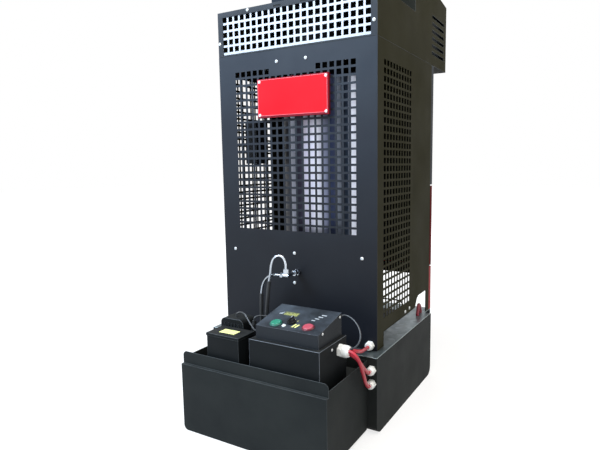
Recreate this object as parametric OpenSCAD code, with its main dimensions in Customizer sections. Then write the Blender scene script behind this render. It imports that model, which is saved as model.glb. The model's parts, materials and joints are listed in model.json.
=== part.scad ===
// Multi-fuel space heater: a perforated tower cabinet on a base tray, with its fuel tank in front.
// The service side faces -Y, the warm-air outlet faces +Y and +Z is up. All sizes are in millimetres.
// The origin is the centre of the base tray's underside.

/* [Base] */
// Width of the base tray
base_w = 541; // [530:1:580]
// Depth of the base tray
base_d = 434; // [430:1:470]
// Height of the base with its deck
base_h = 204; // [200:1:230]
// Radius of the long lower edges of the base
base_edge_r = 26; // [8:1:40]
// Thickness of the deck plate
deck_t = 1.5; // [1:0.1:3]
// Thickness of the sheet metal
sheet_t = 1.5; // [1:0.1:2]

/* [Cabinet] */
// Width of the cabinet
cab_w = 501; // [480:1:510]
// Distance from the origin to the service face
cab_rear = 172; // [160:1:180]
// Distance from the origin to the front end of the side panels
cab_front = 252; // [245:1:270]
// Height of the seam between the cabinet and the top casing
seam_z = 999; // [990:1:1010]
// Height of the side panels' lower edge
side_foot_z = 245; // [235:1:250]
// Width of the side panels' rear feet
post_w = 42; // [35:1:43]
// Gap between neighbouring panels
seam_gap = 0.3; // [0.2:0.1:1]

/* [Perforation] */
// Pitch of the square holes
pitch = 20.5; // [20:0.1:20.8]
// Side of one square hole
hole_w = 14.5; // [12:0.1:16]
// Columns in the rear panel
rear_cols = 19; // [15:2:21]
// Rows in the rear panel
rear_rows = 22; // [18:1:24]
// Columns that the solid tab takes from the top row
tab_cols = 7; // [3:2:9]
// Columns in a side panel
side_cols = 10; // [8:1:11]
// Rows in a side panel
side_rows = 33; // [28:1:33]
// Height of the top row's centre
mesh_top_z = 944; // [940:1:950]
// Columns in the top grille
grille_cols = 23; // [19:2:23]
// Rows in the top grille
grille_rows = 5; // [4:1:5]
// Height of the top grille's lowest row
grille_z = 1018; // [1015:1:1024]

/* [Top casing] */
// Height of the low roof
low_roof_z = 1122; // [1118:1:1140]
// Height of the high roof where it starts
high_roof_z = 1252; // [1245:1:1270]
// Height of the high roof at the outlet
lip_roof_z = 1211; // [1205:1:1220]
// Distance from the origin to the step between the roofs
step_y = 94; // [92:1:98]
// Distance from the origin to the outlet
outlet_y = 402; // [380:1:420]
// Slots in each side of the casing
slot_rows = 6; // [4:1:6]

/* [Flue and drum] */
// Outer diameter of the flue pipe
flue_d = 150; // [120:1:150]
// Height of the flue pipe's end
flue_top_z = 1335; // [1300:1:1400]
// Distance of the flue's axis behind the origin
flue_back = 22; // [18:1:30]
// Outer diameter of the heat drum
drum_d = 300; // [280:1:310]
// Distance of the drum's axis in front of the origin
drum_y = 50; // [45:1:55]
// Height of the drum's lower edge
drum_foot_z = 345; // [340:1:360]
// Height of the drum's lid
drum_top_z = 925; // [900:1:930]
// Wall of the drum and the flue pipe
pipe_wall = 1.5; // [1:0.1:3]

/* [Burner] */
// Outer diameter of the burner pot
pot_d = 180; // [160:1:200]
// Depth of the burner pot
pot_depth = 96; // [70:1:110]
// Air holes in the burner ring
ring_holes = 16; // [8:2:20]

/* [Room fan] */
// Diameter of the room fan rotor
fan_d = 218; // [200:1:219]
// Blades on the rotor
fan_blades = 6; // [4:1:8]
// Angle of the blades to the fan's plane
blade_angle = 30; // [20:1:35]
// Distance from the origin to the fan's bulkhead
bulkhead_y = 150; // [146:1:160]

/* [Blower] */
// Diameter of the blower impeller
impeller_d = 84; // [76:1:90]
// Blades on the impeller
impeller_blades = 24; // [16:2:30]

/* [Front] */
// Height of the service door's lower edge
door_foot_z = 354; // [352:1:360]
// Height of the service door's upper edge
door_top_z = 618; // [600:1:640]
// Depth of the front panels
pan_d = 20; // [18:1:24]
// Radius of the door's hinge pins
hinge_pin_r = 3; // [2.5:0.1:3.5]

/* [Tank] */
// Width of the tank
tank_w = 434; // [420:1:440]
// Distance from the tank's right side to the base's right side
tank_margin = 27.5; // [22:0.5:34]
// Depth of the tank
tank_d = 207; // [203:1:230]
// Height of the tank's front edge
tank_h = 180; // [178:1:188]
// Height of the tank's side walls
tank_side_h = 195; // [190:1:200]
// Height of the raised lip
lip_h = 212; // [206:1:216]
// Distance of the lip behind the tank's front
lip_set = 8; // [6:1:10]
// Radius of the tank's lower edges
tank_edge_r = 14; // [6:1:20]
// Height of the tank cover
cover_z = 168; // [166:1:170]

/* [Boxes on the tank] */
// Width of the terminal box
term_w = 197; // [190:1:200]
// Depth of the terminal box
term_d = 130; // [120:1:132]
// Height of the terminal box
term_h = 106; // [96:1:108]
// Left side of the terminal box
term_x = 16.5; // [15:0.5:18]
// Width of the control box
ctrl_w = 175; // [170:1:180]
// Depth of the control box
ctrl_d = 111; // [105:1:112]
// Height of the control box at its front
ctrl_low = 33; // [30:1:36]
// Height of the control box at its back
ctrl_high = 57; // [50:1:58]
// Width of the pump cover
pump_w = 101; // [96:1:103]
// Depth of the pump cover
pump_d = 61; // [58:1:62]
// Height of the pump cover
pump_h = 101; // [98:1:104]
// Left side of the pump cover
pump_x = -118; // [-119:0.5:-117]
// Distance of the boxes' fronts behind the tank's front
box_set = 20; // [18:1:22]

/* [Controls] */
// Diameter of the dark rings round the push buttons
bezel_d = 31; // [30:0.5:33]
// Diameter of the push buttons
button_d = 25; // [20:0.5:26]
// Travel of the push buttons
button_travel = 3; // [2:0.5:4]
// Diameter of the selector knob
knob_d = 22; // [18:1:24]

/* [Gear pump] */
// Teeth on each pump gear
gear_teeth = 12; // [10:1:14]
// Module of the pump gears
gear_module = 2; // [1.8:0.1:2.1]
// Radius of the pump's drive shaft
pump_shaft_r = 3; // [2.5:0.1:3.5]
// Face width of the gears
gear_w = 12; // [8:1:14]

/* [Hidden] */
$fn = 64;
eps = 0.5;

// Panels
half_w = cab_w / 2;
rear_y = -cab_rear;
rear_in_y = rear_y + sheet_t;
side_start_y = rear_in_y + seam_gap;
front_face_y = cab_front + pan_d;
deck_z = base_h - deck_t;
shelf_low_z = base_h - 32;
web = pitch - hole_w;
side_first_y = rear_y + 48;
notch_start_y = 118;
notch_end_y = cab_front - 26;
notch_top_z = side_foot_z + 33;
foot_leg = 10;
leg_start_z = notch_top_z + 22;
notch_slope = 16;
post_leg = 34;
front_leg_y = cab_front;
inner_x = half_w - sheet_t;

// Casing
casing_inner_x = half_w - sheet_t;
roof_slope = (high_roof_z - lip_roof_z) / (outlet_y - step_y);
slot_len = 126;
slot_h = 9;
slot_pitch = 22;
slot_start_y = cab_front - 1;
slot_low_z = 1037;
grille_w = grille_cols * pitch + 4;
grille_h = grille_rows * pitch + 8;
window_low_z = grille_z - pitch / 2 - 4;
outlet_margin = 14;

// Fan
fan_z = (seam_z + high_roof_z) / 2 - 5;
fan_clear = 4;
fan_hub_r = 36;
fan_depth = 34;
fan_shaft_r = 5;
rotor_y = bulkhead_y + 6;
motor_r = 42;
motor_len = 44;

// Blower, which stands on the floor of the base tray
blower_x = -base_w / 2 + 70.5;
blower_y = drum_y;
blower_z = 112;
blower_w = 46;
scroll_gap = 8;
scroll_grow = 12;
outlet_gap = 2;
box_r = 124;
box_floor_z = 62;
blower_shaft_r = 4;

// Burner
pot_r = pot_d / 2;
pot_flange_r = 138;
pot_flange_z = base_h + 2;
burner_ring_r = 104;
burner_ring_h = 42;

// Tank
tank_front = -base_d / 2 - tank_d;
tank_back = -base_d / 2;
tank_right = base_w / 2 - tank_margin;
tank_left = tank_right - tank_w;
cover_t = 1.5;
cover_gap = 0.3;
ledge_w = 8;
box_y = tank_front + box_set;
filler_x = tank_left + 33;
filler_y = tank_front + 70;
filler_r = 22;

// Controls
term_top = cover_z + term_h;
ctrl_x = term_x + 12;
ctrl_y = box_y + 13.5;
ctrl_tilt = atan((ctrl_high - ctrl_low) / ctrl_d);
green_at = [ctrl_x + 45, 21];
red_at = [ctrl_x + 133, 25];
knob_at = [ctrl_x + 81, 34];
lamp_at = [ctrl_x + 71, 16];
bezel_h = 3;
button_h = 9;
button_gap = 0.4;

// Pump
pump_top = cover_z + pump_h;
gear_pitch_r = gear_module * gear_teeth / 2;
pump_axis_x = pump_x + 40;
pump_axis_z = cover_z + 52;
idler_axis_x = pump_axis_x + 2 * gear_pitch_r;
pump_body_w = 66;
pump_body_d = 30;
pump_body_y = box_y + 16;
gear_y = pump_body_y + 9;
motor_w = 74;
motor_d = 50;
motor_gap = 3;
motor_y = box_y + pump_d + motor_gap;
motor_h = 122;
switch_h = 120;
switch_x = pump_x + 84;
switch_y = box_y + pump_d + 25;
switch_r = 8;
stem_r = 4;
float_r = 14;
float_h = 24;
float_low_z = 40;

// Glands and pipes
gland_x = term_x + term_w;
gland_y = box_y + 95;
gland_z = cover_z + 80;
foot_gland_x = half_w - 18.5;
foot_gland_z = base_h + 14;
base_gland_x = base_w / 2 - 14;
base_gland_zs = [172, 136];
gland_hole_r = 7.4;
gland_l = 22;
small_gland_l = 17;
pipe_y = rear_y - 60;
pipe_r = 3.5;
sleeve_r = 5.2;
tee_x = 10;
tee_z = 393;

// A profile drawn in the Y-Z plane, extruded across X about the middle
module across(width) {
    translate([-width / 2, 0, 0]) rotate([90, 0, 90]) linear_extrude(width) children();
}

// A profile drawn in the X-Z plane, extruded from y0 to y1
module along_y(y0, y1) {
    translate([0, y1, 0]) rotate([90, 0, 0]) linear_extrude(y1 - y0) children();
}

// A profile drawn in the Y-Z plane, extruded from x0
module along_x(x0, width) {
    translate([x0, 0, 0]) rotate([90, 0, 90]) linear_extrude(width) children();
}

// A box given by its lowest and highest corners
module span(low, high) {
    translate(low) cube(high - low);
}

// A square with rounded corners, from circles and two squares, so that its arcs are true
module rounded(w, h, r) {
    translate([r, 0]) square([w - 2 * r, h]);
    translate([0, r]) square([w, h - 2 * r]);
    for (x = [r, w - r], y = [r, h - r]) translate([x, y]) circle(r);
}

// A grid of square holes, its lowest hole centred at the origin
module holes(cols, rows) {
    for (i = [0:cols - 1], j = [0:rows - 1])
        translate([i * pitch - hole_w / 2, j * pitch - hole_w / 2]) square(hole_w);
}

function unit(v) = v / norm(v);

// Catmull-Rom curve through the points, with n steps in each span
function smooth(p, n) = [
    for (i = [0:len(p) - 2], k = [0:n - 1])
        let (a = p[max(i - 1, 0)], b = p[i], c = p[i + 1], d = p[min(i + 2, len(p) - 1)], t = k / n)
            0.5 * (2 * b + (c - a) * t + (2 * a - 5 * b + 4 * c - d) * t * t + (3 * b - a - 3 * c + d) * t * t * t),
    p[len(p) - 1]
];

function tangents(p) = [
    for (i = [0:len(p) - 1]) unit(p[min(i + 1, len(p) - 1)] - p[max(i - 1, 0)])
];

function transport(t, i, acc) =
    i == len(t) ? acc : transport(t, i + 1, concat(acc, [unit(acc[i - 1] - (acc[i - 1] * t[i]) * t[i])]));

// A round tube swept along a smooth route, closed at both ends
module swept(route, r, sides = 10, steps = 4) {
    p = smooth(route, steps);
    t = tangents(p);
    first = abs(t[0].x) < 0.7 ? cross(t[0], [1, 0, 0]) : cross(t[0], [0, 1, 0]);
    u = transport(t, 1, [unit(first)]);
    n = len(p);
    points = [
        for (i = [0:n - 1], k = [0:sides - 1])
            p[i] + r * (u[i] * cos(360 * k / sides) + cross(t[i], u[i]) * sin(360 * k / sides))
    ];
    skin = [
        for (i = [0:n - 2], k = [0:sides - 1])
            let (a = i * sides + k, b = i * sides + (k + 1) % sides)
                each [[a, a + sides, b + sides], [a, b + sides, b]]
    ];
    start = [for (k = [1:sides - 2]) [0, k, k + 1]];
    stop = [for (k = [1:sides - 2]) [(n - 1) * sides, (n - 1) * sides + k + 1, (n - 1) * sides + k]];
    polyhedron(points = points, faces = concat(skin, start, stop));
}

// Base

// The tray's outline from the side: long lower edges rounded
module base_outline(inset) {
    r = base_edge_r - inset;
    w = base_d - 2 * inset;
    translate([-w / 2, inset]) {
        translate([r, 0]) square([w - 2 * r, deck_z - inset]);
        translate([0, r]) square([w, deck_z - inset - r]);
        for (y = [r, w - r]) translate([y, r]) circle(r);
    }
}

module base_tray() {
    color("#35342f") difference() {
        across(base_w) base_outline(0);
        difference() {
            across(base_w - 2 * sheet_t) translate([0, 0]) base_outline(sheet_t);
            for (side = [-1, 1]) translate([side * (base_w / 2 - 9), 0, deck_z])
                cube([18, base_d, 2 * sheet_t], center = true);
        }
        span([-base_w / 2 + 18, -base_d / 2 + sheet_t, deck_z - eps],
             [base_w / 2 - 18, base_d / 2 - sheet_t, deck_z + eps]);
        for (z = base_gland_zs) translate([base_gland_x, -base_d / 2 - eps, z]) rotate([-90, 0, 0])
            cylinder(h = 4, r = gland_hole_r);
    }
}

// The deck reaches further forward than the tray, as a shelf with a folded edge and two brackets
module base_deck() {
    tray_end = base_d / 2 - 1;
    color("#8a979c") {
        difference() {
            union() {
                span([-base_w / 2 + 1, -tray_end, deck_z], [base_w / 2 - 1, tray_end, base_h]);
                span([-half_w, tray_end - 5, deck_z], [half_w, front_face_y, base_h]);
            }
            translate([0, drum_y, deck_z - eps]) cylinder(h = deck_t + 2 * eps, r = box_r + 0.5);
        }
        span([-half_w, front_face_y - sheet_t, shelf_low_z], [half_w, front_face_y, deck_z + eps]);
        for (side = [-1, 1]) along_x(side * (half_w - 60) - 1, 2) polygon([
            [base_d / 2, shelf_low_z - 30], [base_d / 2, deck_z + eps],
                [front_face_y - sheet_t, deck_z + eps],
            [front_face_y - sheet_t, shelf_low_z + 4]
        ]);
    }
}

// Cabinet

module rear_panel() {
    height = seam_z - seam_gap - base_h;
    low_row_z = mesh_top_z - (rear_rows - 1) * pitch;
    color("#2b2e31") along_y(rear_y, rear_in_y) difference() {
        translate([-half_w, base_h]) square([cab_w, height]);
        translate([-(rear_cols - 1) / 2 * pitch, low_row_z]) holes(rear_cols, rear_rows - 1);
        translate([foot_gland_x, foot_gland_z]) circle(gland_hole_r);
        for (side = [-1, 1], i = [(tab_cols + 1) / 2:(rear_cols - 1) / 2])
            translate([side * i * pitch, mesh_top_z]) square(hole_w, center = true);
    }
}

// One side panel's outline in the Y-Z plane: a notch at its foot and a strip that runs down to the deck
module side_outline() {
    polygon([
        [rear_in_y + post_w, side_foot_z], [rear_in_y + post_w, base_h + 0.4], [side_start_y, base_h + 0.4],
        [side_start_y, seam_z - seam_gap], [cab_front, seam_z - seam_gap],
        [cab_front, base_h + 0.4], [notch_end_y, base_h + 0.4], [notch_end_y, notch_top_z],
        [notch_start_y + notch_slope + 14, notch_top_z], [notch_start_y + notch_slope, notch_top_z - 8],
        [notch_start_y, side_foot_z]
    ]);
}

module side_panel() {
    translate([half_w - sheet_t, 0, 0]) rotate([90, 0, 90]) linear_extrude(sheet_t) difference() {
        side_outline();
        translate([side_first_y, mesh_top_z - (side_rows - 1) * pitch]) holes(side_cols, side_rows);
    }
}

module side_panel_right() {
    color("#34332d") side_panel();
}

module side_panel_left() {
    color("#34332d") mirror([1, 0, 0]) side_panel();
}

module rear_posts() {
    color("#2b2e31") difference() {
        for (side = [0, 1]) mirror([side, 0, 0]) translate([0, 0, base_h])
            linear_extrude(seam_z - base_h) polygon([
                [inner_x, rear_in_y], [inner_x, rear_in_y + post_leg],
                    [inner_x - sheet_t, rear_in_y + post_leg],
                [inner_x - sheet_t, rear_in_y + sheet_t], [inner_x - post_leg, rear_in_y + sheet_t],
                [inner_x - post_leg, rear_in_y]
            ]);
        translate([foot_gland_x, rear_in_y - eps, foot_gland_z]) rotate([-90, 0, 0])
            cylinder(h = 8, r = gland_hole_r);
    }
}

// The front posts are narrow beside the notches and the open foot, and full angles above
module front_posts() {
    color("#2b2e31") difference() {
        for (side = [0, 1]) mirror([side, 0, 0]) translate([0, 0, base_h])
            linear_extrude(seam_z - base_h) polygon([
                [inner_x, notch_end_y], [inner_x, front_leg_y], [inner_x - post_leg, front_leg_y],
                [inner_x - post_leg, front_leg_y - sheet_t], [inner_x - sheet_t, front_leg_y - sheet_t],
                [inner_x - sheet_t, notch_end_y]
            ]);
        span([-inner_x + foot_leg, notch_end_y, base_h - eps],
            [inner_x - foot_leg, cab_front + eps, leg_start_z]);
    }
}

// A shallow sheet-metal pan that opens backwards, with its face on the cabinet's front
module pan(low_z, high_z, back_y) {
    difference() {
        span([-half_w, back_y, low_z], [half_w, front_face_y, high_z]);
        span([-half_w + sheet_t, back_y - eps, low_z + sheet_t],
            [half_w - sheet_t, front_face_y - sheet_t, high_z - sheet_t]);
    }
}

module front_panel() {
    color("#2a2b2b") pan(door_top_z + 4, seam_z - seam_gap, front_leg_y);
}

module front_feet() {
    top = door_foot_z - 4;
    color("#8f1d24") difference() {
        for (side = [0, 1]) mirror([side, 0, 0]) translate([0, 0, base_h])
            linear_extrude(top - base_h) polygon([
                [half_w, front_leg_y], [half_w, front_face_y], [half_w - post_leg, front_face_y],
                [half_w - post_leg, front_face_y - sheet_t], [half_w - sheet_t, front_face_y - sheet_t],
                [half_w - sheet_t, front_leg_y]
            ]);
        span([-half_w + foot_leg, front_leg_y, base_h - eps],
            [half_w - foot_leg, front_face_y + eps, leg_start_z]);
    }
}

hinge_x = -half_w + 5.5;
hinge_y = cab_front + 8.5;
door_back_y = cab_front + 3;
hinge_gap = 0.05;

module front_door() {
    color("#b32029") difference() {
        pan(door_foot_z, door_top_z, door_back_y);
        for (z = [door_foot_z - eps, door_top_z - sheet_t - eps])
            translate([hinge_x, hinge_y, z]) cylinder(h = sheet_t + 2 * eps, r = hinge_pin_r + hinge_gap);
    }
}

module door_hinges() {
    color("#9a9c9e") {
        span([-half_w + 0.2, front_leg_y, door_foot_z - 4], [hinge_x + 8, hinge_y + 6, door_foot_z - 2]);
        translate([hinge_x, hinge_y, door_foot_z - 2.5]) cylinder(h = 12, r = hinge_pin_r);
        span([-half_w + 0.2, front_leg_y, door_top_z + 2], [hinge_x + 8, hinge_y + 6, door_top_z + 4]);
        translate([hinge_x, hinge_y, door_top_z - 9.5]) cylinder(h = 12, r = hinge_pin_r);
    }
}

module door_knob() {
    z = (door_foot_z + door_top_z) / 2;
    color("#1c1c1c") translate([half_w - 28, front_face_y, z]) rotate([-90, 0, 0]) rotate_extrude()
        polygon([
        [0, 0], [7, 0], [6, 10], [14, 14], [16, 19], [14, 24], [0, 26]
    ]);
}

// Top casing

// The casing's outline from the side, drawn inwards by t; the bottom stays open over the cabinet
module casing_outline(t) {
    roof_t = t * sqrt(1 + roof_slope * roof_slope);
    polygon([
        [rear_y + t, seam_z - (t > 0 ? eps : 0)], [rear_y + t, low_roof_z - t],
            [step_y + t, low_roof_z - t],
        [step_y + t, high_roof_z - roof_t - roof_slope * t],
            [outlet_y - t, lip_roof_z - roof_t + roof_slope * t],
        [outlet_y - t, seam_z + t], [front_face_y + t, seam_z + t],
            [front_face_y + t, seam_z - (t > 0 ? eps : 0)]
    ]);
}

module top_casing() {
    color("#33383c") difference() {
        across(cab_w) casing_outline(0);
        across(cab_w - 2 * sheet_t) casing_outline(sheet_t);
        // window for the top grille
        span([-grille_w / 2, rear_y - eps, window_low_z],
            [grille_w / 2, rear_in_y + eps, window_low_z + grille_h - 4]);
        // two slots above the window
        for (side = [-1, 1]) span([side * 43 - 12, rear_y - eps, 1106],
            [side * 43 + 12, rear_in_y + eps, 1115]);
        // outlet
        span([-half_w + outlet_margin, outlet_y - 2 * sheet_t, seam_z + outlet_margin],
             [half_w - outlet_margin, outlet_y + eps, lip_roof_z - outlet_margin]);
        // flue
        translate([0, -flue_back, low_roof_z - 2 * sheet_t]) cylinder(h = 4 * sheet_t, r = flue_d / 2 + 3);
        // side slots
        for (side = [-1, 1], i = [0:slot_rows - 1])
            translate([side * half_w, slot_start_y + slot_len / 2, slot_low_z + i * slot_pitch])
                cube([4 * sheet_t, slot_len, slot_h], center = true);
    }
}

module top_grille() {
    color("#e6e9ee") along_y(rear_in_y, rear_in_y + sheet_t) difference() {
        translate([-grille_w / 2 - 8, window_low_z - 4]) square([grille_w + 16, grille_h + 6]);
        translate([-(grille_cols - 1) / 2 * pitch, grille_z]) holes(grille_cols, grille_rows);
    }
}

module top_deck() {
    color("#8a979c") difference() {
        span([-casing_inner_x + seam_gap, rear_in_y + sheet_t + 1, seam_z],
            [casing_inner_x - seam_gap, front_face_y, seam_z + sheet_t]);
        translate([0, -flue_back, seam_z - eps]) cylinder(h = sheet_t + 2 * eps, r = flue_d / 2 + 8);
        for (side = [-1, 1], i = [0:2])
            span([side * 165 - 60, -150 + i * 80, seam_z - eps],
                [side * 165 + 60, -90 + i * 80, seam_z + sheet_t + eps]);
    }
}

module outlet_grille() {
    low = seam_z + outlet_margin;
    high = lip_roof_z - outlet_margin;
    wide = cab_w - 2 * outlet_margin;
    slats = 8;
    slat_pitch = (high - low) / slats;
    color("#23282c") {
        difference() {
            span([-wide / 2 - 9, outlet_y - sheet_t - 3, low - 9],
                [wide / 2 + 9, outlet_y - sheet_t, high + 9]);
            span([-wide / 2 + 4, outlet_y - 9, low + 4], [wide / 2 - 4, outlet_y + 1, high - 4]);
        }
        for (i = [0:slats - 1]) translate([0, outlet_y - 9, low + (i + 0.5) * slat_pitch])
            rotate([-35, 0, 0]) cube([wide - 6, 20, 1.2], center = true);
        // duct walls, which stand behind the casing's side slots
        for (side = [-1, 1]) span([side * (wide / 2 - 3) - 1, slot_start_y - 6, low],
                                  [side * (wide / 2 - 3) + 1, outlet_y - 4.5, high]);
    }
}

// Room fan

module fan_bulkhead() {
    top = high_roof_z - roof_slope * (bulkhead_y - step_y) - 2 * sheet_t;
    r = fan_d / 2 + fan_clear;
    color("#8f9a9e") {
        difference() {
            span([-casing_inner_x + seam_gap, bulkhead_y - sheet_t, seam_z + sheet_t],
                [casing_inner_x - seam_gap, bulkhead_y, top]);
            translate([0, bulkhead_y - 2 * sheet_t, fan_z]) rotate([-90, 0, 0])
                cylinder(h = 4 * sheet_t, r = r);
        }
        translate([0, bulkhead_y, fan_z]) rotate([-90, 0, 0]) rotate_extrude()
            polygon([[r, 0], [r + 6, 0], [r + sheet_t, 5], [r + sheet_t, fan_depth + 8],
                [r, fan_depth + 8]]);
        // arms that carry the motor
        for (a = [0:90:270]) translate([0, bulkhead_y - sheet_t, fan_z]) rotate([0, a + 45, 0])
            span([motor_r - 2, -3, -6], [r + 4, 0, 6]);
    }
}

module fan_guard() {
    r = fan_d / 2 + fan_clear;
    wire = 1.2;
    y = bulkhead_y + fan_depth + 8 + wire;
    color("#202326") translate([0, y, fan_z]) {
        rotate([-90, 0, 0]) for (i = [1:6]) rotate_extrude($fn = 96) polygon([
            [r * i / 6 - wire, -wire], [r * i / 6 + wire, -wire], [r * i / 6 + wire, wire],
                [r * i / 6 - wire, wire]
        ]);
        for (a = [0:60:300]) rotate([0, a, 0]) span([r / 6 - 1, -0.8, -0.8], [r, 0.8, 0.8]);
    }
}

// Points of one curved blade section, chord across and camber along the axis
function blade_section(chord, camber, t, n = 6) = concat(
    [for (i = [0:n]) [chord * (i / n - 0.5), camber * sin(180 * i / n) + t / 2]],
    [for (i = [n:-1:0]) [chord * (i / n - 0.5), camber * sin(180 * i / n) - t / 2]]
);

module fan_rotor() {
    color("#3a3d40") translate([0, rotor_y, fan_z]) rotate([-90, 0, 0]) {
        intersection() {
            for (a = [0:360 / fan_blades:359]) rotate([0, 0, a])
                translate([fan_hub_r - 3, 0, fan_depth / 2])
                rotate([90 - blade_angle, 0, 0]) rotate([0, 90, 0]) linear_extrude(fan_d / 2)
                    rotate(90) polygon(blade_section(52, 6, 2));
            cylinder(h = fan_depth, r = fan_d / 2);
        }
        difference() {
            cylinder(h = fan_depth - 6, r = fan_hub_r);
            translate([0, 0, 4]) cylinder(h = fan_depth, r = fan_hub_r - 3);
            translate([0, 0, -eps]) cylinder(h = fan_depth, r = fan_shaft_r + 0.05);
        }
        difference() {
            cylinder(h = fan_depth - 10, r = 12);
            translate([0, 0, -eps]) cylinder(h = fan_depth, r = fan_shaft_r + 0.05);
        }
    }
}

module fan_motor() {
    color("#5c6164") translate([0, bulkhead_y - sheet_t, fan_z]) rotate([90, 0, 0]) {
        rotate_extrude() polygon([
            [0, 0], [motor_r - 4, 0], [motor_r - 2, 3], [motor_r - 2, motor_len - 6],
                [motor_r - 9, motor_len], [0, motor_len]
        ]);
        translate([0, 0, -fan_depth - sheet_t]) cylinder(h = fan_depth + sheet_t + 1, r = fan_shaft_r);
        for (a = [0:30:330]) rotate([0, 0, a]) translate([motor_r - 3, -1, 6]) cube([4, 2, motor_len - 14]);
    }
}

// Drum and flue

module heat_drum() {
    r = drum_d / 2;
    color("#b9bec6") translate([0, drum_y, 0]) rotate_extrude($fn = 128) polygon([
        [r - pipe_wall, drum_foot_z], [r + 6, drum_foot_z], [r + 6, drum_foot_z + 3], [r, drum_foot_z + 3],
        [r, drum_top_z], [r - pipe_wall, drum_top_z]
    ]);
}

module drum_lid() {
    r = drum_d / 2;
    rise = 24;
    color("#aab0b8") difference() {
        translate([0, drum_y, 0]) rotate_extrude($fn = 128) polygon([
            [0, drum_top_z + rise], [0, drum_top_z + rise + 2], [r - 14, drum_top_z + rise + 2],
                [r + 2, drum_top_z + 12],
            [r + 2, drum_top_z - 10], [r + 0.3, drum_top_z - 10], [r + 0.3, drum_top_z],
                [r - pipe_wall, drum_top_z],
            [r - pipe_wall, drum_top_z + 11], [r - 15, drum_top_z + rise]
        ]);
        translate([0, -flue_back, drum_top_z]) cylinder(h = 2 * rise, r = flue_d / 2 + 0.3);
    }
}

module drum_stand() {
    r = drum_d / 2;
    color("#4a4e50") {
        translate([0, drum_y, drum_foot_z - 6]) difference() {
            cylinder(h = 6, r = r + 6);
            translate([0, 0, -eps]) cylinder(h = 6 + 2 * eps, r = r - 7);
        }
        for (a = [45:90:315]) translate([0, drum_y, 0]) rotate([0, 0, a])
            span([r - 4, -12, base_h + 2], [r + 2, 12, drum_foot_z - 6]);
        for (a = [45:90:315]) translate([0, drum_y, 0]) rotate([0, 0, a])
            span([r - 4, -18, base_h], [r + 20, 18, base_h + 3]);
    }
}

module flue_pipe() {
    r = flue_d / 2;
    foot = drum_top_z + 18;
    color("#c3c8cf") translate([0, -flue_back, 0]) rotate_extrude($fn = 128) polygon([
        [r - pipe_wall, foot], [r, foot], [r, drum_top_z + 26.3], [r + 6, drum_top_z + 26.3],
            [r + 6, drum_top_z + 28],
        [r, drum_top_z + 28], [r, flue_top_z - 46], [r + 2, flue_top_z - 44], [r + 2, flue_top_z - 40],
        [r, flue_top_z - 38], [r, flue_top_z], [r - pipe_wall, flue_top_z]
    ]);
}

module flue_collar() {
    r = flue_d / 2 + 0.4;
    color("#2d3236") translate([0, -flue_back, low_roof_z]) rotate_extrude($fn = 128) polygon([
        [r, 0], [r + 28, 0], [r + 28, 2], [r + 9, 4], [r + 4, 30], [r, 30]
    ]);
}

// Burner

module burner_box() {
    color("#6f777b") difference() {
        translate([0, drum_y, 0]) rotate_extrude($fn = 128) polygon([
            [0, box_floor_z], [box_r, box_floor_z], [box_r, base_h], [pot_flange_r + 6, base_h],
            [pot_flange_r + 6, pot_flange_z], [box_r - 2, pot_flange_z], [box_r - 2, box_floor_z + 2],
                [0, box_floor_z + 2]
        ]);
        span([-box_r - 20, drum_y - 20, blower_z - 62], [-box_r + 30, drum_y + 20, blower_z - 22]);
    }
}

module burner_pot() {
    color("#3b3a38") translate([0, drum_y, 0]) rotate_extrude($fn = 96) polygon([
        [0, pot_flange_z - pot_depth], [pot_r - 12, pot_flange_z - pot_depth],
            [pot_r, pot_flange_z - pot_depth + 14],
        [pot_r, pot_flange_z], [pot_flange_r, pot_flange_z], [pot_flange_r, pot_flange_z + 5],
            [pot_r - 5, pot_flange_z + 5],
        [pot_r - 5, pot_flange_z - pot_depth + 16], [pot_r - 15, pot_flange_z - pot_depth + 5],
            [0, pot_flange_z - pot_depth + 5]
    ]);
}

module burner_ring() {
    z = pot_flange_z + 5;
    lip_in = 22;
    color("#4a4643") difference() {
        translate([0, drum_y, z]) rotate_extrude($fn = 96) polygon([
            [burner_ring_r - 5, 0], [burner_ring_r, 0], [burner_ring_r, burner_ring_h],
                [burner_ring_r - lip_in, burner_ring_h],
            [burner_ring_r - lip_in, burner_ring_h - 4], [burner_ring_r - 5, burner_ring_h - 4]
        ]);
        for (i = [0:ring_holes - 1]) translate([0, drum_y, z + burner_ring_h / 2])
            rotate([0, 0, (i + 0.5) * 360 / ring_holes])
            translate([burner_ring_r - 10, 0, 0]) rotate([0, 90, 0]) cylinder(h = 15, r = 5);
    }
}

module burner_dish() {
    z = pot_flange_z - pot_depth + 5;
    color("#55504c") translate([0, drum_y, z]) rotate_extrude($fn = 96) polygon([
        [0, 0], [34, 0], [58, 14], [61, 14], [61, 18], [56, 18], [33, 5], [0, 5]
    ]);
}

// Blower: a spiral housing on a foot, with its outlet into the burner box

function scroll(base, grow, n = 40) = [
    for (i = [0:n]) let (a = 270 - 360 * i / n, r = base + grow * i / n) [r * cos(a), r * sin(a)]
];

module scroll_shape(wall) {
    base = impeller_d / 2 + scroll_gap - wall;
    polygon(scroll(base, scroll_grow));
    top = -base;
    translate([0, -base - scroll_grow]) square([-blower_x - box_r - outlet_gap + (wall > 0 ? eps : 0), 40]);
}

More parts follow.
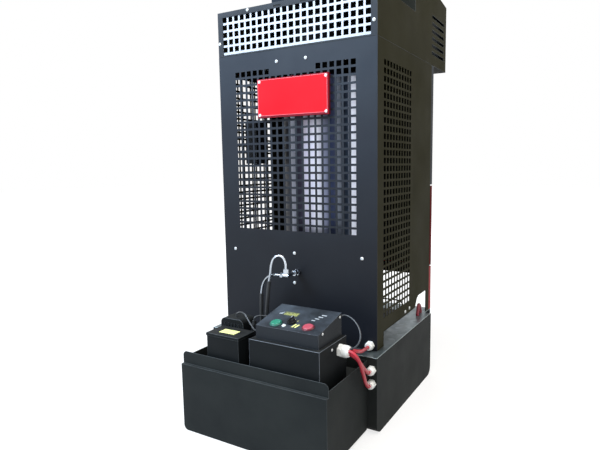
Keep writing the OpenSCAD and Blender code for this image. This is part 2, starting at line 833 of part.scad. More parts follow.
module blower_housing() {
    y0 = blower_y - blower_w / 2;
    color("#7d8587") {
        difference() {
            translate([blower_x, 0, blower_z]) along_y(y0, y0 + blower_w) scroll_shape(0);
            translate([blower_x, 0, blower_z]) along_y(y0 + sheet_t,
                y0 + blower_w - sheet_t) scroll_shape(sheet_t);
            translate([blower_x, y0 - eps, blower_z]) rotate([-90, 0, 0])
                cylinder(h = sheet_t + 2 * eps, r = impeller_d / 2 - 14);
            translate([blower_x, y0 + blower_w - sheet_t - eps, blower_z]) rotate([-90, 0, 0])
                cylinder(h = sheet_t + 2 * eps, r = blower_shaft_r + 1);
        }
        span([blower_x - 30, y0 + 4, sheet_t], [blower_x + 30, y0 + blower_w - 4,
            blower_z - impeller_d / 2 - scroll_gap - scroll_grow]);
    }
}

module blower_impeller() {
    w = blower_w - 2 * sheet_t - 8;
    r = impeller_d / 2;
    blade_r = 9;
    color("#9aa0a4") translate([blower_x, blower_y - w / 2, blower_z]) rotate([-90, 0, 0]) {
        translate([0, 0, w - 2]) difference() {
            cylinder(h = 2, r = r);
            translate([0, 0, -eps]) cylinder(h = 3, r = blower_shaft_r + 0.05);
        }
        difference() {
            translate([0, 0, w - 16]) cylinder(h = 15, r = 9);
            translate([0, 0, -eps]) cylinder(h = w + 2, r = blower_shaft_r + 0.05);
        }
        difference() {
            cylinder(h = 2, r = r);
            translate([0, 0, -eps]) cylinder(h = 3, r = r - 10);
        }
        for (i = [0:impeller_blades - 1]) rotate([0, 0, i * 360 / impeller_blades]) linear_extrude(w - 1)
            translate([r - 5.5, 0]) polygon([[-4, -2.5], [0, -1.5], [4.5, 2], [4.5, 3], [0, -0.3],
                [-4, -1.5]]);
    }
}

module blower_motor() {
    y0 = blower_y + blower_w / 2;
    color("#3f4447") translate([blower_x, y0, blower_z]) rotate([-90, 0, 0]) {
        rotate_extrude() polygon([[0, 0], [30, 0], [32, 3], [32, 44], [26, 52], [0, 52]]);
        translate([0, 0, -blower_w + sheet_t + 8]) cylinder(h = blower_w, r = blower_shaft_r);
    }
}

// Thermostat box on the left side panel's inner face
thermo_d = 42;
thermo_w = 54;
thermo_h = 130;
thermo_y = drum_y - 114;
thermo_z = mesh_top_z - 250;

module thermostat_box() {
    color("#191a1b") {
        span([-inner_x, thermo_y, thermo_z], [-inner_x + thermo_d, thermo_y + thermo_w,
            thermo_z + thermo_h]);
        translate([-inner_x + thermo_d / 2, thermo_y + thermo_w / 2, thermo_z - 8])
            cylinder(h = 8 + eps, r = 8);
    }
}

// Red plate on the rear panel, blank, on four spacers
plate_w = 225;
plate_h = 104;
plate_x = 7.5;
plate_z = mesh_top_z - 73.8;
plate_gap = 12;
plate_t = 1.5;
plate_inset = 7;

// Places its children on the rear panel at the plate's four corners, +Z outwards
module at_plate_corners() {
    for (x = [-1, 1], z = [-1, 1])
        translate([plate_x + x * (plate_w / 2 - plate_inset), rear_y,
            plate_z + z * (plate_h / 2 - plate_inset)])
            rotate([90, 0, 0]) children();
}

module blank_plate() {
    color("#e8202c") difference() {
        span([plate_x - plate_w / 2, rear_y - plate_gap - plate_t, plate_z - plate_h / 2],
             [plate_x + plate_w / 2, rear_y - plate_gap, plate_z + plate_h / 2]);
        at_plate_corners() translate([0, 0, plate_gap - eps]) cylinder(h = plate_t + 2 * eps, r = 2.1);
    }
}

module plate_rivets() {
    color("#f0f0f0") at_plate_corners() {
        cylinder(h = plate_gap, r = 4);
        cylinder(h = plate_gap + plate_t + 1, r = 2);
        translate([0, 0, plate_gap + plate_t]) cylinder(h = 1.4, r1 = 4.4, r2 = 3);
    }
}

// Tank and its cover

module tank_outline(inset, height) {
    r = tank_edge_r - inset;
    w = tank_w - 2 * inset;
    translate([tank_left + inset, inset]) {
        translate([r, 0]) square([w - 2 * r, height - inset]);
        translate([0, r]) square([w, height - inset - r]);
        for (x = [r, w - r]) translate([x, r]) circle(r);
    }
}

module fuel_tank() {
    lip_y = tank_front + lip_set;
    color("#2c2d2c") {
        difference() {
            along_y(tank_front, tank_back) tank_outline(0, tank_side_h);
            along_y(tank_front + sheet_t, tank_back - sheet_t) tank_outline(sheet_t, tank_side_h + eps);
            span([tank_left - eps, tank_front - eps, tank_h], [tank_right + eps, lip_y, tank_side_h + eps]);
        }
        // folded front edge and raised lip
        span([tank_left, tank_front, tank_h - sheet_t], [tank_right, lip_y + sheet_t, tank_h]);
        along_y(lip_y, lip_y + sheet_t) difference() {
            translate([tank_left, tank_h - sheet_t]) square([tank_w, lip_h - tank_h + sheet_t]);
            for (side = [0, 1]) translate([side == 0 ? tank_left : tank_right, lip_h]) mirror([side, 0])
                difference() {
                translate([-eps, -12]) square([12 + eps, 12 + eps]);
                translate([12, -12]) circle(12);
            }
        }
        // ledge that carries the cover
        difference() {
            span([tank_left + eps, lip_y + eps, cover_z - cover_t - 2],
                [tank_right - eps, tank_back - eps, cover_z - cover_t]);
            span([tank_left + sheet_t + ledge_w, lip_y + sheet_t + ledge_w, cover_z - 10],
                 [tank_right - sheet_t - ledge_w, tank_back - sheet_t - ledge_w, cover_z]);
        }
        span([tank_left + eps, tank_front + eps, cover_z - cover_t - 2],
            [tank_right - eps, lip_y + sheet_t, cover_z - cover_t]);
    }
}

module tank_cover() {
    color("#26282a") difference() {
        span([tank_left + sheet_t + cover_gap, tank_front + sheet_t + cover_gap, cover_z - cover_t],
             [tank_right - sheet_t - cover_gap, tank_back - sheet_t - cover_gap, cover_z]);
        translate([filler_x, filler_y, cover_z - 5]) cylinder(h = 10, r = filler_r + 0.5);
        translate([switch_x, switch_y, cover_z - 5]) cylinder(h = 10, r = stem_r + 0.5);
        translate([pump_axis_x, pump_body_y + pump_body_d / 2, cover_z - 5]) cylinder(h = 10, r = 5);
    }
}

module filler_strainer() {
    depth = 74;
    wall = 1.2;
    color("#a9adb0") difference() {
        translate([filler_x, filler_y, cover_z]) rotate_extrude() polygon([
            [0, -depth], [filler_r - 1, -depth], [filler_r, 0], [filler_r + 3.5, 0], [filler_r + 3.5, 1.5],
            [filler_r - wall, 1.5], [filler_r - 1 - wall, -depth + wall], [0, -depth + wall]
        ]);
        for (a = [0:45:315], k = [1:3]) translate([filler_x, filler_y, cover_z - k * 15])
            rotate([0, 0, a + k * 22.5])
            translate([filler_r - 8, 0, 0]) rotate([0, 90, 0]) cylinder(h = 12, r = 3.5);
    }
}

lid_half = 28;
lid_z = cover_z + 2.2;
lid_axis_y = filler_y + lid_half + 4;
lid_axis_z = cover_z + 5;
lid_pin_r = 2;

module filler_lid() {
    color("#303336") {
        span([filler_x - lid_half, filler_y - lid_half, lid_z],
            [filler_x + lid_half, filler_y + lid_half, lid_z + 1.5]);
        translate([filler_x - 8, filler_y - lid_half + 4, lid_z + 1]) cube([16, 6, 8]);
        difference() {
            hull() {
                span([filler_x - 12, filler_y + lid_half - 8, lid_z],
                    [filler_x + 12, filler_y + lid_half - 7, lid_z + 1.5]);
                translate([filler_x - 12, lid_axis_y, lid_axis_z]) rotate([0, 90, 0])
                    cylinder(h = 24, r = 4, $fn = 32);
            }
            translate([filler_x - 20, lid_axis_y, lid_axis_z]) rotate([0, 90, 0])
                cylinder(h = 40, r = lid_pin_r + 0.05);
        }
    }
}

module level_switch() {
    color("#202224") translate([switch_x, switch_y, 0]) {
        translate([0, 0, cover_z]) cylinder(h = 8, r = 12, $fn = 6);
        translate([0, 0, cover_z + 8]) cylinder(h = 100, r = switch_r);
        translate([0, 0, cover_z + 108]) cylinder(h = switch_h - 108, r1 = switch_r, r2 = 4);
        translate([0, 0, float_low_z - 8]) cylinder(h = cover_z - float_low_z + 8 + 1, r = stem_r);
        translate([0, 0, float_low_z - 8]) cylinder(h = 6, r = stem_r + 5);
    }
}

module level_float() {
    color("#d8d4c8") translate([switch_x, switch_y, float_low_z]) difference() {
        rotate_extrude() polygon([
            [stem_r + 0.6, 0], [float_r - 3, 0], [float_r, 4], [float_r, float_h - 4],
                [float_r - 3, float_h], [stem_r + 0.6, float_h]
        ]);
    }
}

// Pump

module pump_cover() {
    color("#26292a") difference() {
        union() {
            span([pump_x, box_y, cover_z], [pump_x + pump_w, box_y + pump_d, pump_top - 7]);
            span([pump_x - 1.5, box_y - 1.5, pump_top - 7],
                [pump_x + pump_w + 1.5, box_y + pump_d + 1.5, pump_top]);
        }
        span([pump_x + 2, box_y + 2, cover_z - eps],
            [pump_x + pump_w - 2, box_y + pump_d - 2, pump_top - 3]);
        translate([pump_axis_x, box_y + pump_d - 6, pump_axis_z]) rotate([-90, 0, 0])
            cylinder(h = 10, r = pump_shaft_r + 2);
    }
}

module pump_motor() {
    x0 = pump_axis_x - motor_w / 2 - 12;
    color("#2f3236") {
        difference() {
            translate([x0, 0, cover_z]) along_y(motor_y, motor_y + motor_d) union() {
                square([motor_w, motor_h - 14]);
                translate([14, 0]) square([motor_w - 28, motor_h]);
                for (x = [14, motor_w - 14]) translate([x, motor_h - 14]) circle(14);
            }
            translate([pump_axis_x, motor_y - eps, pump_axis_z]) rotate([-90, 0, 0])
                cylinder(h = 12, r = pump_shaft_r + 0.05);
            for (i = [0:4]) translate([x0 + 14 + i * 11, motor_y - eps, cover_z + 96]) cube([5, 4, 14]);
        }
        translate([pump_axis_x, motor_y - 2, pump_axis_z]) rotate([-90, 0, 0]) difference() {
            cylinder(h = 3, r = 12);
            translate([0, 0, -eps]) cylinder(h = 4, r = pump_shaft_r + 0.05);
        }
    }
}

module pump_body() {
    x0 = pump_axis_x - gear_pitch_r - 16;
    z0 = cover_z + 20;
    r = gear_pitch_r + gear_module + 0.6;
    color("#9b9ea0") difference() {
        union() {
            span([x0, pump_body_y, z0], [x0 + pump_body_w, pump_body_y + pump_body_d, z0 + 60]);
            span([x0 + 8, pump_body_y + 4, cover_z], [x0 + 20, pump_body_y + 24, z0]);
            span([x0 + pump_body_w - 20, pump_body_y + 4, cover_z],
                [x0 + pump_body_w - 8, pump_body_y + 24, z0]);
        }
        for (x = [pump_axis_x, idler_axis_x]) {
            translate([x, gear_y - 0.3, pump_axis_z]) rotate([-90, 0, 0]) cylinder(h = gear_w + 0.6, r = r);
            translate([x, pump_body_y + 4, pump_axis_z]) rotate([-90, 0, 0])
                cylinder(h = 20, r = pump_shaft_r + 0.05);
        }
        translate([pump_axis_x, pump_body_y + 10, pump_axis_z]) rotate([-90, 0, 0])
            cylinder(h = 30, r = pump_shaft_r + 0.05);
        translate([pump_axis_x, pump_body_y + pump_body_d / 2, z0 - eps]) cylinder(h = 20, r = 3);
    }
}

// Involute tooth: points at radius r, mirrored about the tooth's centre line
function involute(base_r, r) = let (a = acos(base_r / r)) tan(a) * 180 / PI - a;

function gear_points(teeth, m, backlash, pressure = 24) =
    let (
        pr = m * teeth / 2, base_r = pr * cos(pressure), tip = pr + 0.9 * m, root = pr - 1.15 * m,
        half = 90 / teeth - backlash + involute(base_r, pr), low = max(base_r, root)
    )
    [
        for (k = [0:teeth - 1]) let (c = 360 * k / teeth) each [
            [root * cos(c - 180 / teeth), root * sin(c - 180 / teeth)],
            [root * cos(c - half), root * sin(c - half)],
            for (i = [0:4]) let (r = low + (tip - low) * i / 4, a = half - involute(base_r, r))
                [r * cos(c - a), r * sin(c - a)],
            for (i = [4:-1:0]) let (r = low + (tip - low) * i / 4, a = half - involute(base_r, r))
                [r * cos(c + a), r * sin(c + a)],
            [root * cos(c + half), root * sin(c + half)]
        ]
    ];

module pump_gear(turn) {
    rotate([-90, 0, 0]) rotate(turn) linear_extrude(gear_w)
        polygon(gear_points(gear_teeth, gear_module, 1.2));
}

module pump_drive_gear() {
    shaft_end = motor_y + 10;
    color("#b8bbbe") {
        translate([pump_axis_x, gear_y, pump_axis_z]) pump_gear(0);
        translate([pump_axis_x, pump_body_y + 5, pump_axis_z]) rotate([-90, 0, 0])
            cylinder(h = shaft_end - pump_body_y - 5, r = pump_shaft_r);
    }
}

module pump_idler_gear() {
    color("#b8bbbe") {
        translate([idler_axis_x, gear_y, pump_axis_z]) pump_gear(180 / gear_teeth * (gear_teeth % 2 == 0
            ? 1 : 0));
        translate([idler_axis_x, pump_body_y + 5, pump_axis_z]) rotate([-90, 0, 0])
            cylinder(h = 18, r = pump_shaft_r);
    }
}

module suction_pipe() {
    y = pump_body_y + pump_body_d / 2;
    color("#c2a060") translate([pump_axis_x, y, 0]) {
        translate([0, 0, 40]) cylinder(h = cover_z + 20 - 40 + 6, r = 3);
        translate([0, 0, 16]) cylinder(h = 34, r = 14);
        translate([0, 0, 50]) cylinder(h = 6, r1 = 14, r2 = 5);
    }
}

// Terminal box and control box

module terminal_box() {
    color("#2a2c2f") difference() {
        span([term_x, box_y, cover_z], [term_x + term_w, box_y + term_d, term_top]);
        span([term_x + sheet_t, box_y + sheet_t, cover_z - eps],
            [term_x + term_w - sheet_t, box_y + term_d - sheet_t, term_top - sheet_t]);
        translate([gland_x - 5, gland_y, gland_z]) rotate([0, 90, 0]) cylinder(h = 10, r = 10.2);
    }
}

// Places its children on the control box's sloped top: x across, y up the slope from the front edge
module on_slope(at) {
    translate([at.x, ctrl_y, term_top + ctrl_low]) rotate([ctrl_tilt, 0, 0])
        translate([0, at.y, 0]) children();
}

module control_box() {
    color("#2f3338") difference() {
        translate([ctrl_x + ctrl_w / 2, ctrl_y, term_top]) across(ctrl_w)
            polygon([[0, 0], [ctrl_d, 0], [ctrl_d, ctrl_high], [0, ctrl_low]]);
        translate([ctrl_x + ctrl_w / 2, ctrl_y, term_top]) across(ctrl_w - 2 * sheet_t)
            polygon([[sheet_t, -eps], [ctrl_d - sheet_t, -eps],
                [ctrl_d - sheet_t, ctrl_high - 2 * sheet_t], [sheet_t, ctrl_low - sheet_t]]);
        for (at = [green_at, red_at]) on_slope(at) translate([0, 0, -8])
            cylinder(h = 12, r = button_d / 2 + 1);
        on_slope(knob_at) translate([0, 0, -8]) cylinder(h = 12, r = 3.05);
        on_slope(lamp_at) translate([0, 0, -8]) cylinder(h = 12, r = 3.2);
    }
}

module button_rings() {
    color("#154a40") for (at = [green_at, red_at]) on_slope(at) {
        rotate_extrude() polygon([
            [button_d / 2 + button_gap, -9], [button_d / 2 + 1, -9], [button_d / 2 + 1, 0],
                [bezel_d / 2, 0],
            [bezel_d / 2, 1.2], [bezel_d / 2 - 1.4, bezel_h], [button_d / 2 + button_gap, bezel_h]
        ]);
    }
}

module push_button(at) {
    on_slope(at) rotate_extrude() polygon([
        [0, bezel_h + 2 - button_h], [button_d / 2, bezel_h + 2 - button_h], [button_d / 2, bezel_h + 0.6],
        [button_d / 2 - 1.2, bezel_h + 1.6], [0, bezel_h + 2]
    ]);
}

module green_button() {
    color("#3fae8e") push_button(green_at);
}

module red_button() {
    color("#e0707e") push_button(red_at);
}

module selector_knob() {
    color("#141516") on_slope(knob_at) {
        translate([0, 0, -6]) cylinder(h = 8, r = 3);
        translate([0, 0, 0.4]) cylinder(h = 5, r = knob_d / 2);
        translate([0, 0, 5]) cylinder(h = 6, r1 = knob_d / 2 - 2, r2 = knob_d / 2 - 3.5);
        translate([-2.2, -knob_d / 2 + 0.5, 5]) cube([4.4, knob_d - 1, 9]);
    }
}

module indicator_lamp() {
    color("#e8eceb") on_slope(lamp_at) rotate_extrude() polygon([
        [0, -5], [3, -5], [3, 0], [5, 0], [5, 1.5], [3.4, 2.2], [2.6, 3.6], [0, 4.4]
    ]);
}

// Glands, leads and cables

// A cable gland along +Z: hexagon, thread stub behind the panel and a domed nut
module gland(size, length) {
    translate([0, 0, -6]) cylinder(h = 7, r = size * 0.62);
    cylinder(h = length * 0.32, r = size * 1.06, $fn = 6);
    translate([0, 0, length * 0.32]) rotate_extrude() polygon([
        [0, 0], [size * 0.92, 0], [size * 0.97, 2], [size * 0.95, length * 0.42],
            [size * 0.8, length * 0.62],
        [size * 0.68, length * 0.68], [0, length * 0.68]
    ]);
}

module cable_glands() {
    color("#f2f4f4") {
        translate([gland_x, gland_y, gland_z]) rotate([0, 90, 0]) gland(15.5, gland_l + 6);
        translate([foot_gland_x, rear_y, foot_gland_z]) rotate([90, 0, 0]) gland(11.5, small_gland_l);
        for (z = base_gland_zs) translate([base_gland_x, -base_d / 2, z]) rotate([90, 0, 0])
            gland(11.5, small_gland_l);
    }
}

// Routes of the leads, from the large gland to each small one. Each starts and ends square to its gland.
lead_r = 4.4;
cable_r = 2;
end_gap = 0.4;
gland_tip = [gland_x + gland_l + 6 + end_gap, gland_y, gland_z];
foot_tip = [foot_gland_x, rear_y - small_gland_l - end_gap, foot_gland_z];
base_tips = [for (z = base_gland_zs) [base_gland_x, -base_d / 2 - small_gland_l - end_gap, z]];

function in_mouth(angle, r) = gland_tip + r * [0, cos(angle), sin(angle)];

// A cubic curve between two points, with the handles given as offsets from its ends
function curve(from, out, to, back, n = 12) = [
    for (i = [0:n]) let (t = i / n, u = 1 - t)
        from * u * u * u + 3 * (from + out) * t * u * u + 3 * (to + back) * t * t * u + to * t * t * t
];

// The same curve, with a short straight stub at each end
function route(from, leave, out, to, arrive, back, n = 12) = concat(
    [from, from + leave / 2], curve(from + leave, out, to + arrive, back, n), [to + arrive / 2, to]
);

lead_routes = [
    route(in_mouth(30, 5.5), [3, 0, 0], [23, 0, 0], foot_tip, [0, -4, 0], [4, -40, 4]),
    route(in_mouth(-90, 5.5), [3, 0, 0], [23, 0, -8], base_tips[0], [0, -4, 0], [0, -26, 15]),
    route(in_mouth(150, 5.5), [3, 0, 0], [37, -4, -6], base_tips[1], [0, -4, 0], [4, -42, 28])
];

// The lead that rises out of the deck and bends inwards through the notch
deck_lead_at = [half_w - 10.5, notch_start_y + 40, base_h + end_gap];
deck_lead = [
    for (p = [[0, 0, 0], [0, 0, 2.5], [0, 0, 5], [0, -1, 26], [-2, -3, 46], [-10, -6, 58], [-26, -8, 54],
        [-40, -10, 32], [-43, -11, 5], [-43, -11, 2.5],
        [-43, -11, 0]])
        deck_lead_at + p
];

module silicone_leads() {
    color("#c2283a") {
        for (route = lead_routes) swept(route, lead_r, 12, 2);
        swept(deck_lead, 3.4, 10, 3);
    }
}

// Routes of the control cables
box_cable_start = [ctrl_x + ctrl_w - 8, ctrl_y + ctrl_d + end_gap, term_top + 44];
box_cable = route(box_cable_start, [0, 4, 0], [16, 30, 16], in_mouth(90, 7.9), [4, 0, 0], [56, 0, 34], 16);
motor_cable_start = [pump_axis_x - 14, motor_y + 22, cover_z + motor_h + end_gap];
motor_cable_end = [ctrl_x - end_gap, ctrl_y + 24.5, term_top + 16];
motor_cable = concat(
    route(motor_cable_start, [0, 0, 4], [4, -2, 10], motor_cable_start + [52, -22, 14], [-6, 2, 2],
        [-12, 5, 7], 6),
    [motor_cable_end + [-30, 7, -9], motor_cable_end + [-14, 1, -4], motor_cable_end + [-4, 0, 0],
     motor_cable_end + [-2, 0, 0], motor_cable_end]
);
switch_cable_start = [switch_x, switch_y, cover_z + switch_h + end_gap];
switch_cable_end = [ctrl_x - end_gap, ctrl_y + ctrl_d - 4.5, term_top + 18];
switch_cable = route(switch_cable_start, [0, 0, 4], [6, 4, 16], switch_cable_end, [-4, 0, 0], [-26, -4, 0],
    10);

module control_cables() {
    color("#3a3d42") {
        swept(box_cable, cable_r, 10, 2);
        swept(motor_cable, cable_r, 10, 2);
        swept(switch_cable, cable_r - 0.2, 10, 2);
    }
}

// Fuel tubes: the feed tube bends into the tee, the vent tube loops over it. Both rise out of the cover in sleeves.
foot_z = cover_z + 0.3;
feed_route = [
    [-76, pipe_y, foot_z], [-75.4, pipe_y, 240], [-74.4, pipe_y, 300], [-73.2, pipe_y, 335],
    [-68.6, pipe_y, 358], [-61, pipe_y, 373], [-51, pipe_y, 383], [-39, pipe_y, 389.4],
    [tee_x - 34, pipe_y, tee_z - 0.8], [tee_x - 20, pipe_y, tee_z], [tee_x - 13, pipe_y, tee_z],
    [tee_x - 8, pipe_y, tee_z]
];
vent_y = pipe_y - 9;
vent_route = [
    [-56, vent_y, foot_z], [-53.4, vent_y, 230], [-50.4, vent_y, 282], [-45, vent_y, 335],
        [-39.4, vent_y, 375],
    [-34.8, vent_y, 397], [-31.4, vent_y + 1, 422], [-24.4, vent_y + 4, 439], [-10, vent_y + 7, 446.4],
    [3, pipe_y, 441], [tee_x - 0.6, pipe_y, 427], [tee_x, pipe_y, tee_z + 20], [tee_x, pipe_y, tee_z + 12]
];

module fuel_pipes() {
    color("#c9ccd0") {
        swept(feed_route, pipe_r, 12, 4);
        swept([for (i = [0:3]) feed_route[i] + [0, 0, i == 0 ? 10.3 : 0]], sleeve_r, 14, 3);
        swept(vent_route, pipe_r, 12, 4);
        swept([for (i = [0:4]) vent_route[i] + [0, 0, i == 0 ? 10.3 : 0]], sleeve_r, 14, 3);
    }
}

module pipe_fittings() {
    color("#d7dadd") {
        difference() {
            union() {
                translate([tee_x, pipe_y, tee_z]) rotate([0, 90, 0]) cylinder(h = 20, r = 6, center = true);
                translate([tee_x, pipe_y, tee_z]) cylinder(h = 20, r = 5.3);
                translate([tee_x - 16, pipe_y, tee_z]) rotate([0, 90, 0]) cylinder(h = 8, r = 8, $fn = 6);
                translate([tee_x, pipe_y, tee_z + 7]) cylinder(h = 11, r = 7.6, $fn = 6);
                translate([tee_x, pipe_y, tee_z]) rotate([-90, 0, 0])
                    cylinder(h = rear_y - pipe_y, r = 4.7);
                translate([tee_x, rear_y - 22, tee_z]) rotate([-90, 0, 0])
                    cylinder(h = 9, r = 8.5, $fn = 6);
                translate([tee_x, rear_y - 8, tee_z]) rotate([-90, 0, 0]) cylinder(h = 8, r = 9.5, $fn = 6);
            }
            translate([tee_x - 22, pipe_y, tee_z]) rotate([0, 90, 0]) cylinder(h = 15, r = pipe_r + 0.2);
            translate([tee_x, pipe_y, tee_z + 11]) cylinder(h = 20, r = pipe_r + 0.2);
        }
        for (foot = [feed_route[0], vent_route[0]]) translate(foot) difference() {
            cylinder(h = 10, r = 9, $fn = 6);
            translate([0, 0, -eps]) cylinder(h = 12, r = pipe_r + 0.2);
        }
    }
}

// Screws with pale heads

module screw(at, turn) {
    translate(at) rotate(turn) {
        cylinder(h = 1.2, r = 4.6);
        translate([0, 0, 1.2]) cylinder(h = 1.4, r1 = 4.4, r2 = 2.4);
    }
}

rear_screws = [
    [-48, seam_z - 31], [45, seam_z - 31], [-142, low_roof_z - 6], [-half_w + 6, seam_z + 37],
        [half_w - 9, seam_z + 37],
    [-211, mesh_top_z - 502], [-1, mesh_top_z - 500], [208, mesh_top_z - 498], [-2, mesh_top_z - 584]
];

module casing_screws() {
    color("#eceeee") {
        for (p = rear_screws) screw([p.x, rear_y, p.y], [90, 0, 0]);
        for (side = [-1, 1], p = [[67, side_foot_z + 13], [32, side_foot_z + 11]])
            screw([side * half_w, p.x, p.y], [0, side * 90, 0]);
        screw([term_x + term_w, gland_y - 37, term_top - 13], [0, 90, 0]);
        for (p = [[ctrl_y + 19, ctrl_low - 2], [ctrl_y + ctrl_d - 8, ctrl_high - 9]])
            screw([ctrl_x + ctrl_w, p.x, term_top + p.y], [0, 90, 0]);
    }
}

base_tray();
base_deck();
rear_panel();
side_panel_right();
side_panel_left();
rear_posts();
front_posts();
front_panel();
front_feet();
front_door();
door_hinges();
door_knob();
top_casing();
top_grille();
top_deck();
outlet_grille();
fan_bulkhead();
fan_guard();
fan_rotor();
fan_motor();
heat_drum();
drum_lid();
drum_stand();
flue_pipe();
flue_collar();
burner_box();
burner_pot();
burner_ring();
burner_dish();
blower_housing();
blower_impeller();
blower_motor();
thermostat_box();
blank_plate();
plate_rivets();
fuel_tank();
tank_cover();
filler_strainer();
filler_lid();
level_switch();
level_float();
pump_cover();
pump_motor();
pump_body();
pump_drive_gear();
pump_idler_gear();
suction_pipe();
terminal_box();
control_box();
button_rings();
green_button();
red_button();
selector_knob();
indicator_lamp();
cable_glands();
silicone_leads();
control_cables();
fuel_pipes();
pipe_fittings();
casing_screws();
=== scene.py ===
import json
import math

import bmesh
import bpy
from mathutils import Matrix, Vector

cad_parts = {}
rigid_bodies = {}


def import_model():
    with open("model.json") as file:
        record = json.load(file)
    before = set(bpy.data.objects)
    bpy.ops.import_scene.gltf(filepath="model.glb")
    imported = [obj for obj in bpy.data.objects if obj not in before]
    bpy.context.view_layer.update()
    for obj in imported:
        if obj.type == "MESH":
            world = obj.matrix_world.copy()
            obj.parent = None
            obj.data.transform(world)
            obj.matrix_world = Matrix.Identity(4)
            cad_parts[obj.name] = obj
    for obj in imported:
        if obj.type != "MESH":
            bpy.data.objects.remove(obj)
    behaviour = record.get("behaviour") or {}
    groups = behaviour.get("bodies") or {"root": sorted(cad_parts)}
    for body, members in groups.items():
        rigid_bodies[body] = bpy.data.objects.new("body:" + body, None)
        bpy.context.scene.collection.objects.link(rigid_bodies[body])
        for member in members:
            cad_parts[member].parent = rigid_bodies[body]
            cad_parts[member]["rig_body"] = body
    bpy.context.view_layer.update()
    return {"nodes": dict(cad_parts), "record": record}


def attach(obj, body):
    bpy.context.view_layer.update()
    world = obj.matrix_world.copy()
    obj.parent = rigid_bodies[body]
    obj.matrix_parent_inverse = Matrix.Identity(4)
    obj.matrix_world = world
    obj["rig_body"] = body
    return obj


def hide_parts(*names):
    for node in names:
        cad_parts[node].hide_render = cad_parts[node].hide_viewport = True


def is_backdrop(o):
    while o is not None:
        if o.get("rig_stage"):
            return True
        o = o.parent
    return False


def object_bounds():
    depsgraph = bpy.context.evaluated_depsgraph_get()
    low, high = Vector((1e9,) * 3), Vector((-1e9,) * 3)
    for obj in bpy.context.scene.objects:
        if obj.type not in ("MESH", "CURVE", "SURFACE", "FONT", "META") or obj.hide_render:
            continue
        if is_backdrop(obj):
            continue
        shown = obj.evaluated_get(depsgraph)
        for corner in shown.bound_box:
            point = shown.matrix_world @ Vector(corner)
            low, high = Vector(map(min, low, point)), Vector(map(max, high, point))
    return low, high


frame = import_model()
nodes = frame["nodes"]
MM = 0.001


# Shader groups

FLOAT, COLOUR, VECTOR = "NodeSocketFloat", "NodeSocketColor", "NodeSocketVector"
GLOSS_PATCHES, GRAIN_HEIGHT = 9, 0.0006
DUST_PATCHES, LEAST_UPWARD = 14, 0.4
ZINC_SMOOTH, ZINC_ROUGH = 0.3, 0.46


def new_group(name, inputs, outputs):
    """A shader node group with named sockets: (name, kind, default)."""
    group = bpy.data.node_groups.new(name, "ShaderNodeTree")
    for label, kind, default in inputs:
        socket = group.interface.new_socket(label, in_out="INPUT", socket_type=kind)
        socket.default_value = default
    for label, kind in outputs:
        group.interface.new_socket(label, in_out="OUTPUT", socket_type=kind)
    start = group.nodes.new("NodeGroupInput")
    end = group.nodes.new("NodeGroupOutput")
    return group, start, end


def add_node(tree, kind, values=(), **settings):
    """Adds a shader node: settings go to its properties, then values to its inputs by label or number."""
    node = tree.nodes.new(kind)
    for key, value in settings.items():
        setattr(node, key, value)
    for label, value in dict(values).items():
        node.inputs[label].default_value = value
    return node


def object_place(tree):
    """The place on the object."""
    return add_node(tree, "ShaderNodeTexCoord").outputs["Object"]


def place_axes(tree):
    """The three coordinates of the place on the object."""
    axes = add_node(tree, "ShaderNodeSeparateXYZ")
    tree.links.new(object_place(tree), axes.inputs[0])
    return axes.outputs


def stretched_place(group, start):
    """The place on the object, stretched by the group's own input."""
    stretch = add_node(group, "ShaderNodeVectorMath", operation="MULTIPLY")
    group.links.new(object_place(group), stretch.inputs[0])
    group.links.new(start.outputs["Stretch"], stretch.inputs[1])
    return stretch.outputs[0]


def spread_noise(tree, noise, low, high):
    """A noise whose values between two limits are spread over the whole range."""
    spread = add_node(tree, "ShaderNodeMapRange", {"From Min": low, "From Max": high})
    tree.links.new(noise.outputs["Fac"], spread.inputs["Value"])
    return spread


def build_grain_group():
    """Fine surface relief and an uneven gloss, from noise that can be stretched along an axis."""
    group, start, end = new_group(
        "surface_grain",
        [("Scale", FLOAT, 300.0), ("Stretch", VECTOR, (1, 1, 1)), ("Depth", FLOAT, 0.1),
         ("Smooth", FLOAT, 0.35), ("Rough", FLOAT, 0.5)],
        [("Roughness", FLOAT), ("Normal", VECTOR)])
    link = group.links.new
    place = stretched_place(group, start)
    fine = add_node(group, "ShaderNodeTexNoise", {"Detail": 3})
    coarse = add_node(group, "ShaderNodeTexNoise", {"Scale": GLOSS_PATCHES, "Detail": 5})
    spread = spread_noise(group, coarse, 0.3, 0.7)
    bump = add_node(group, "ShaderNodeBump", {"Distance": GRAIN_HEIGHT})
    link(place, fine.inputs["Vector"])
    link(start.outputs["Scale"], fine.inputs["Scale"])
    link(place, coarse.inputs["Vector"])
    link(start.outputs["Smooth"], spread.inputs["To Min"])
    link(start.outputs["Rough"], spread.inputs["To Max"])
    link(fine.outputs["Fac"], bump.inputs["Height"])
    link(start.outputs["Depth"], bump.inputs["Strength"])
    link(spread.outputs["Result"], end.inputs["Roughness"])
    link(bump.outputs["Normal"], end.inputs["Normal"])
    return group


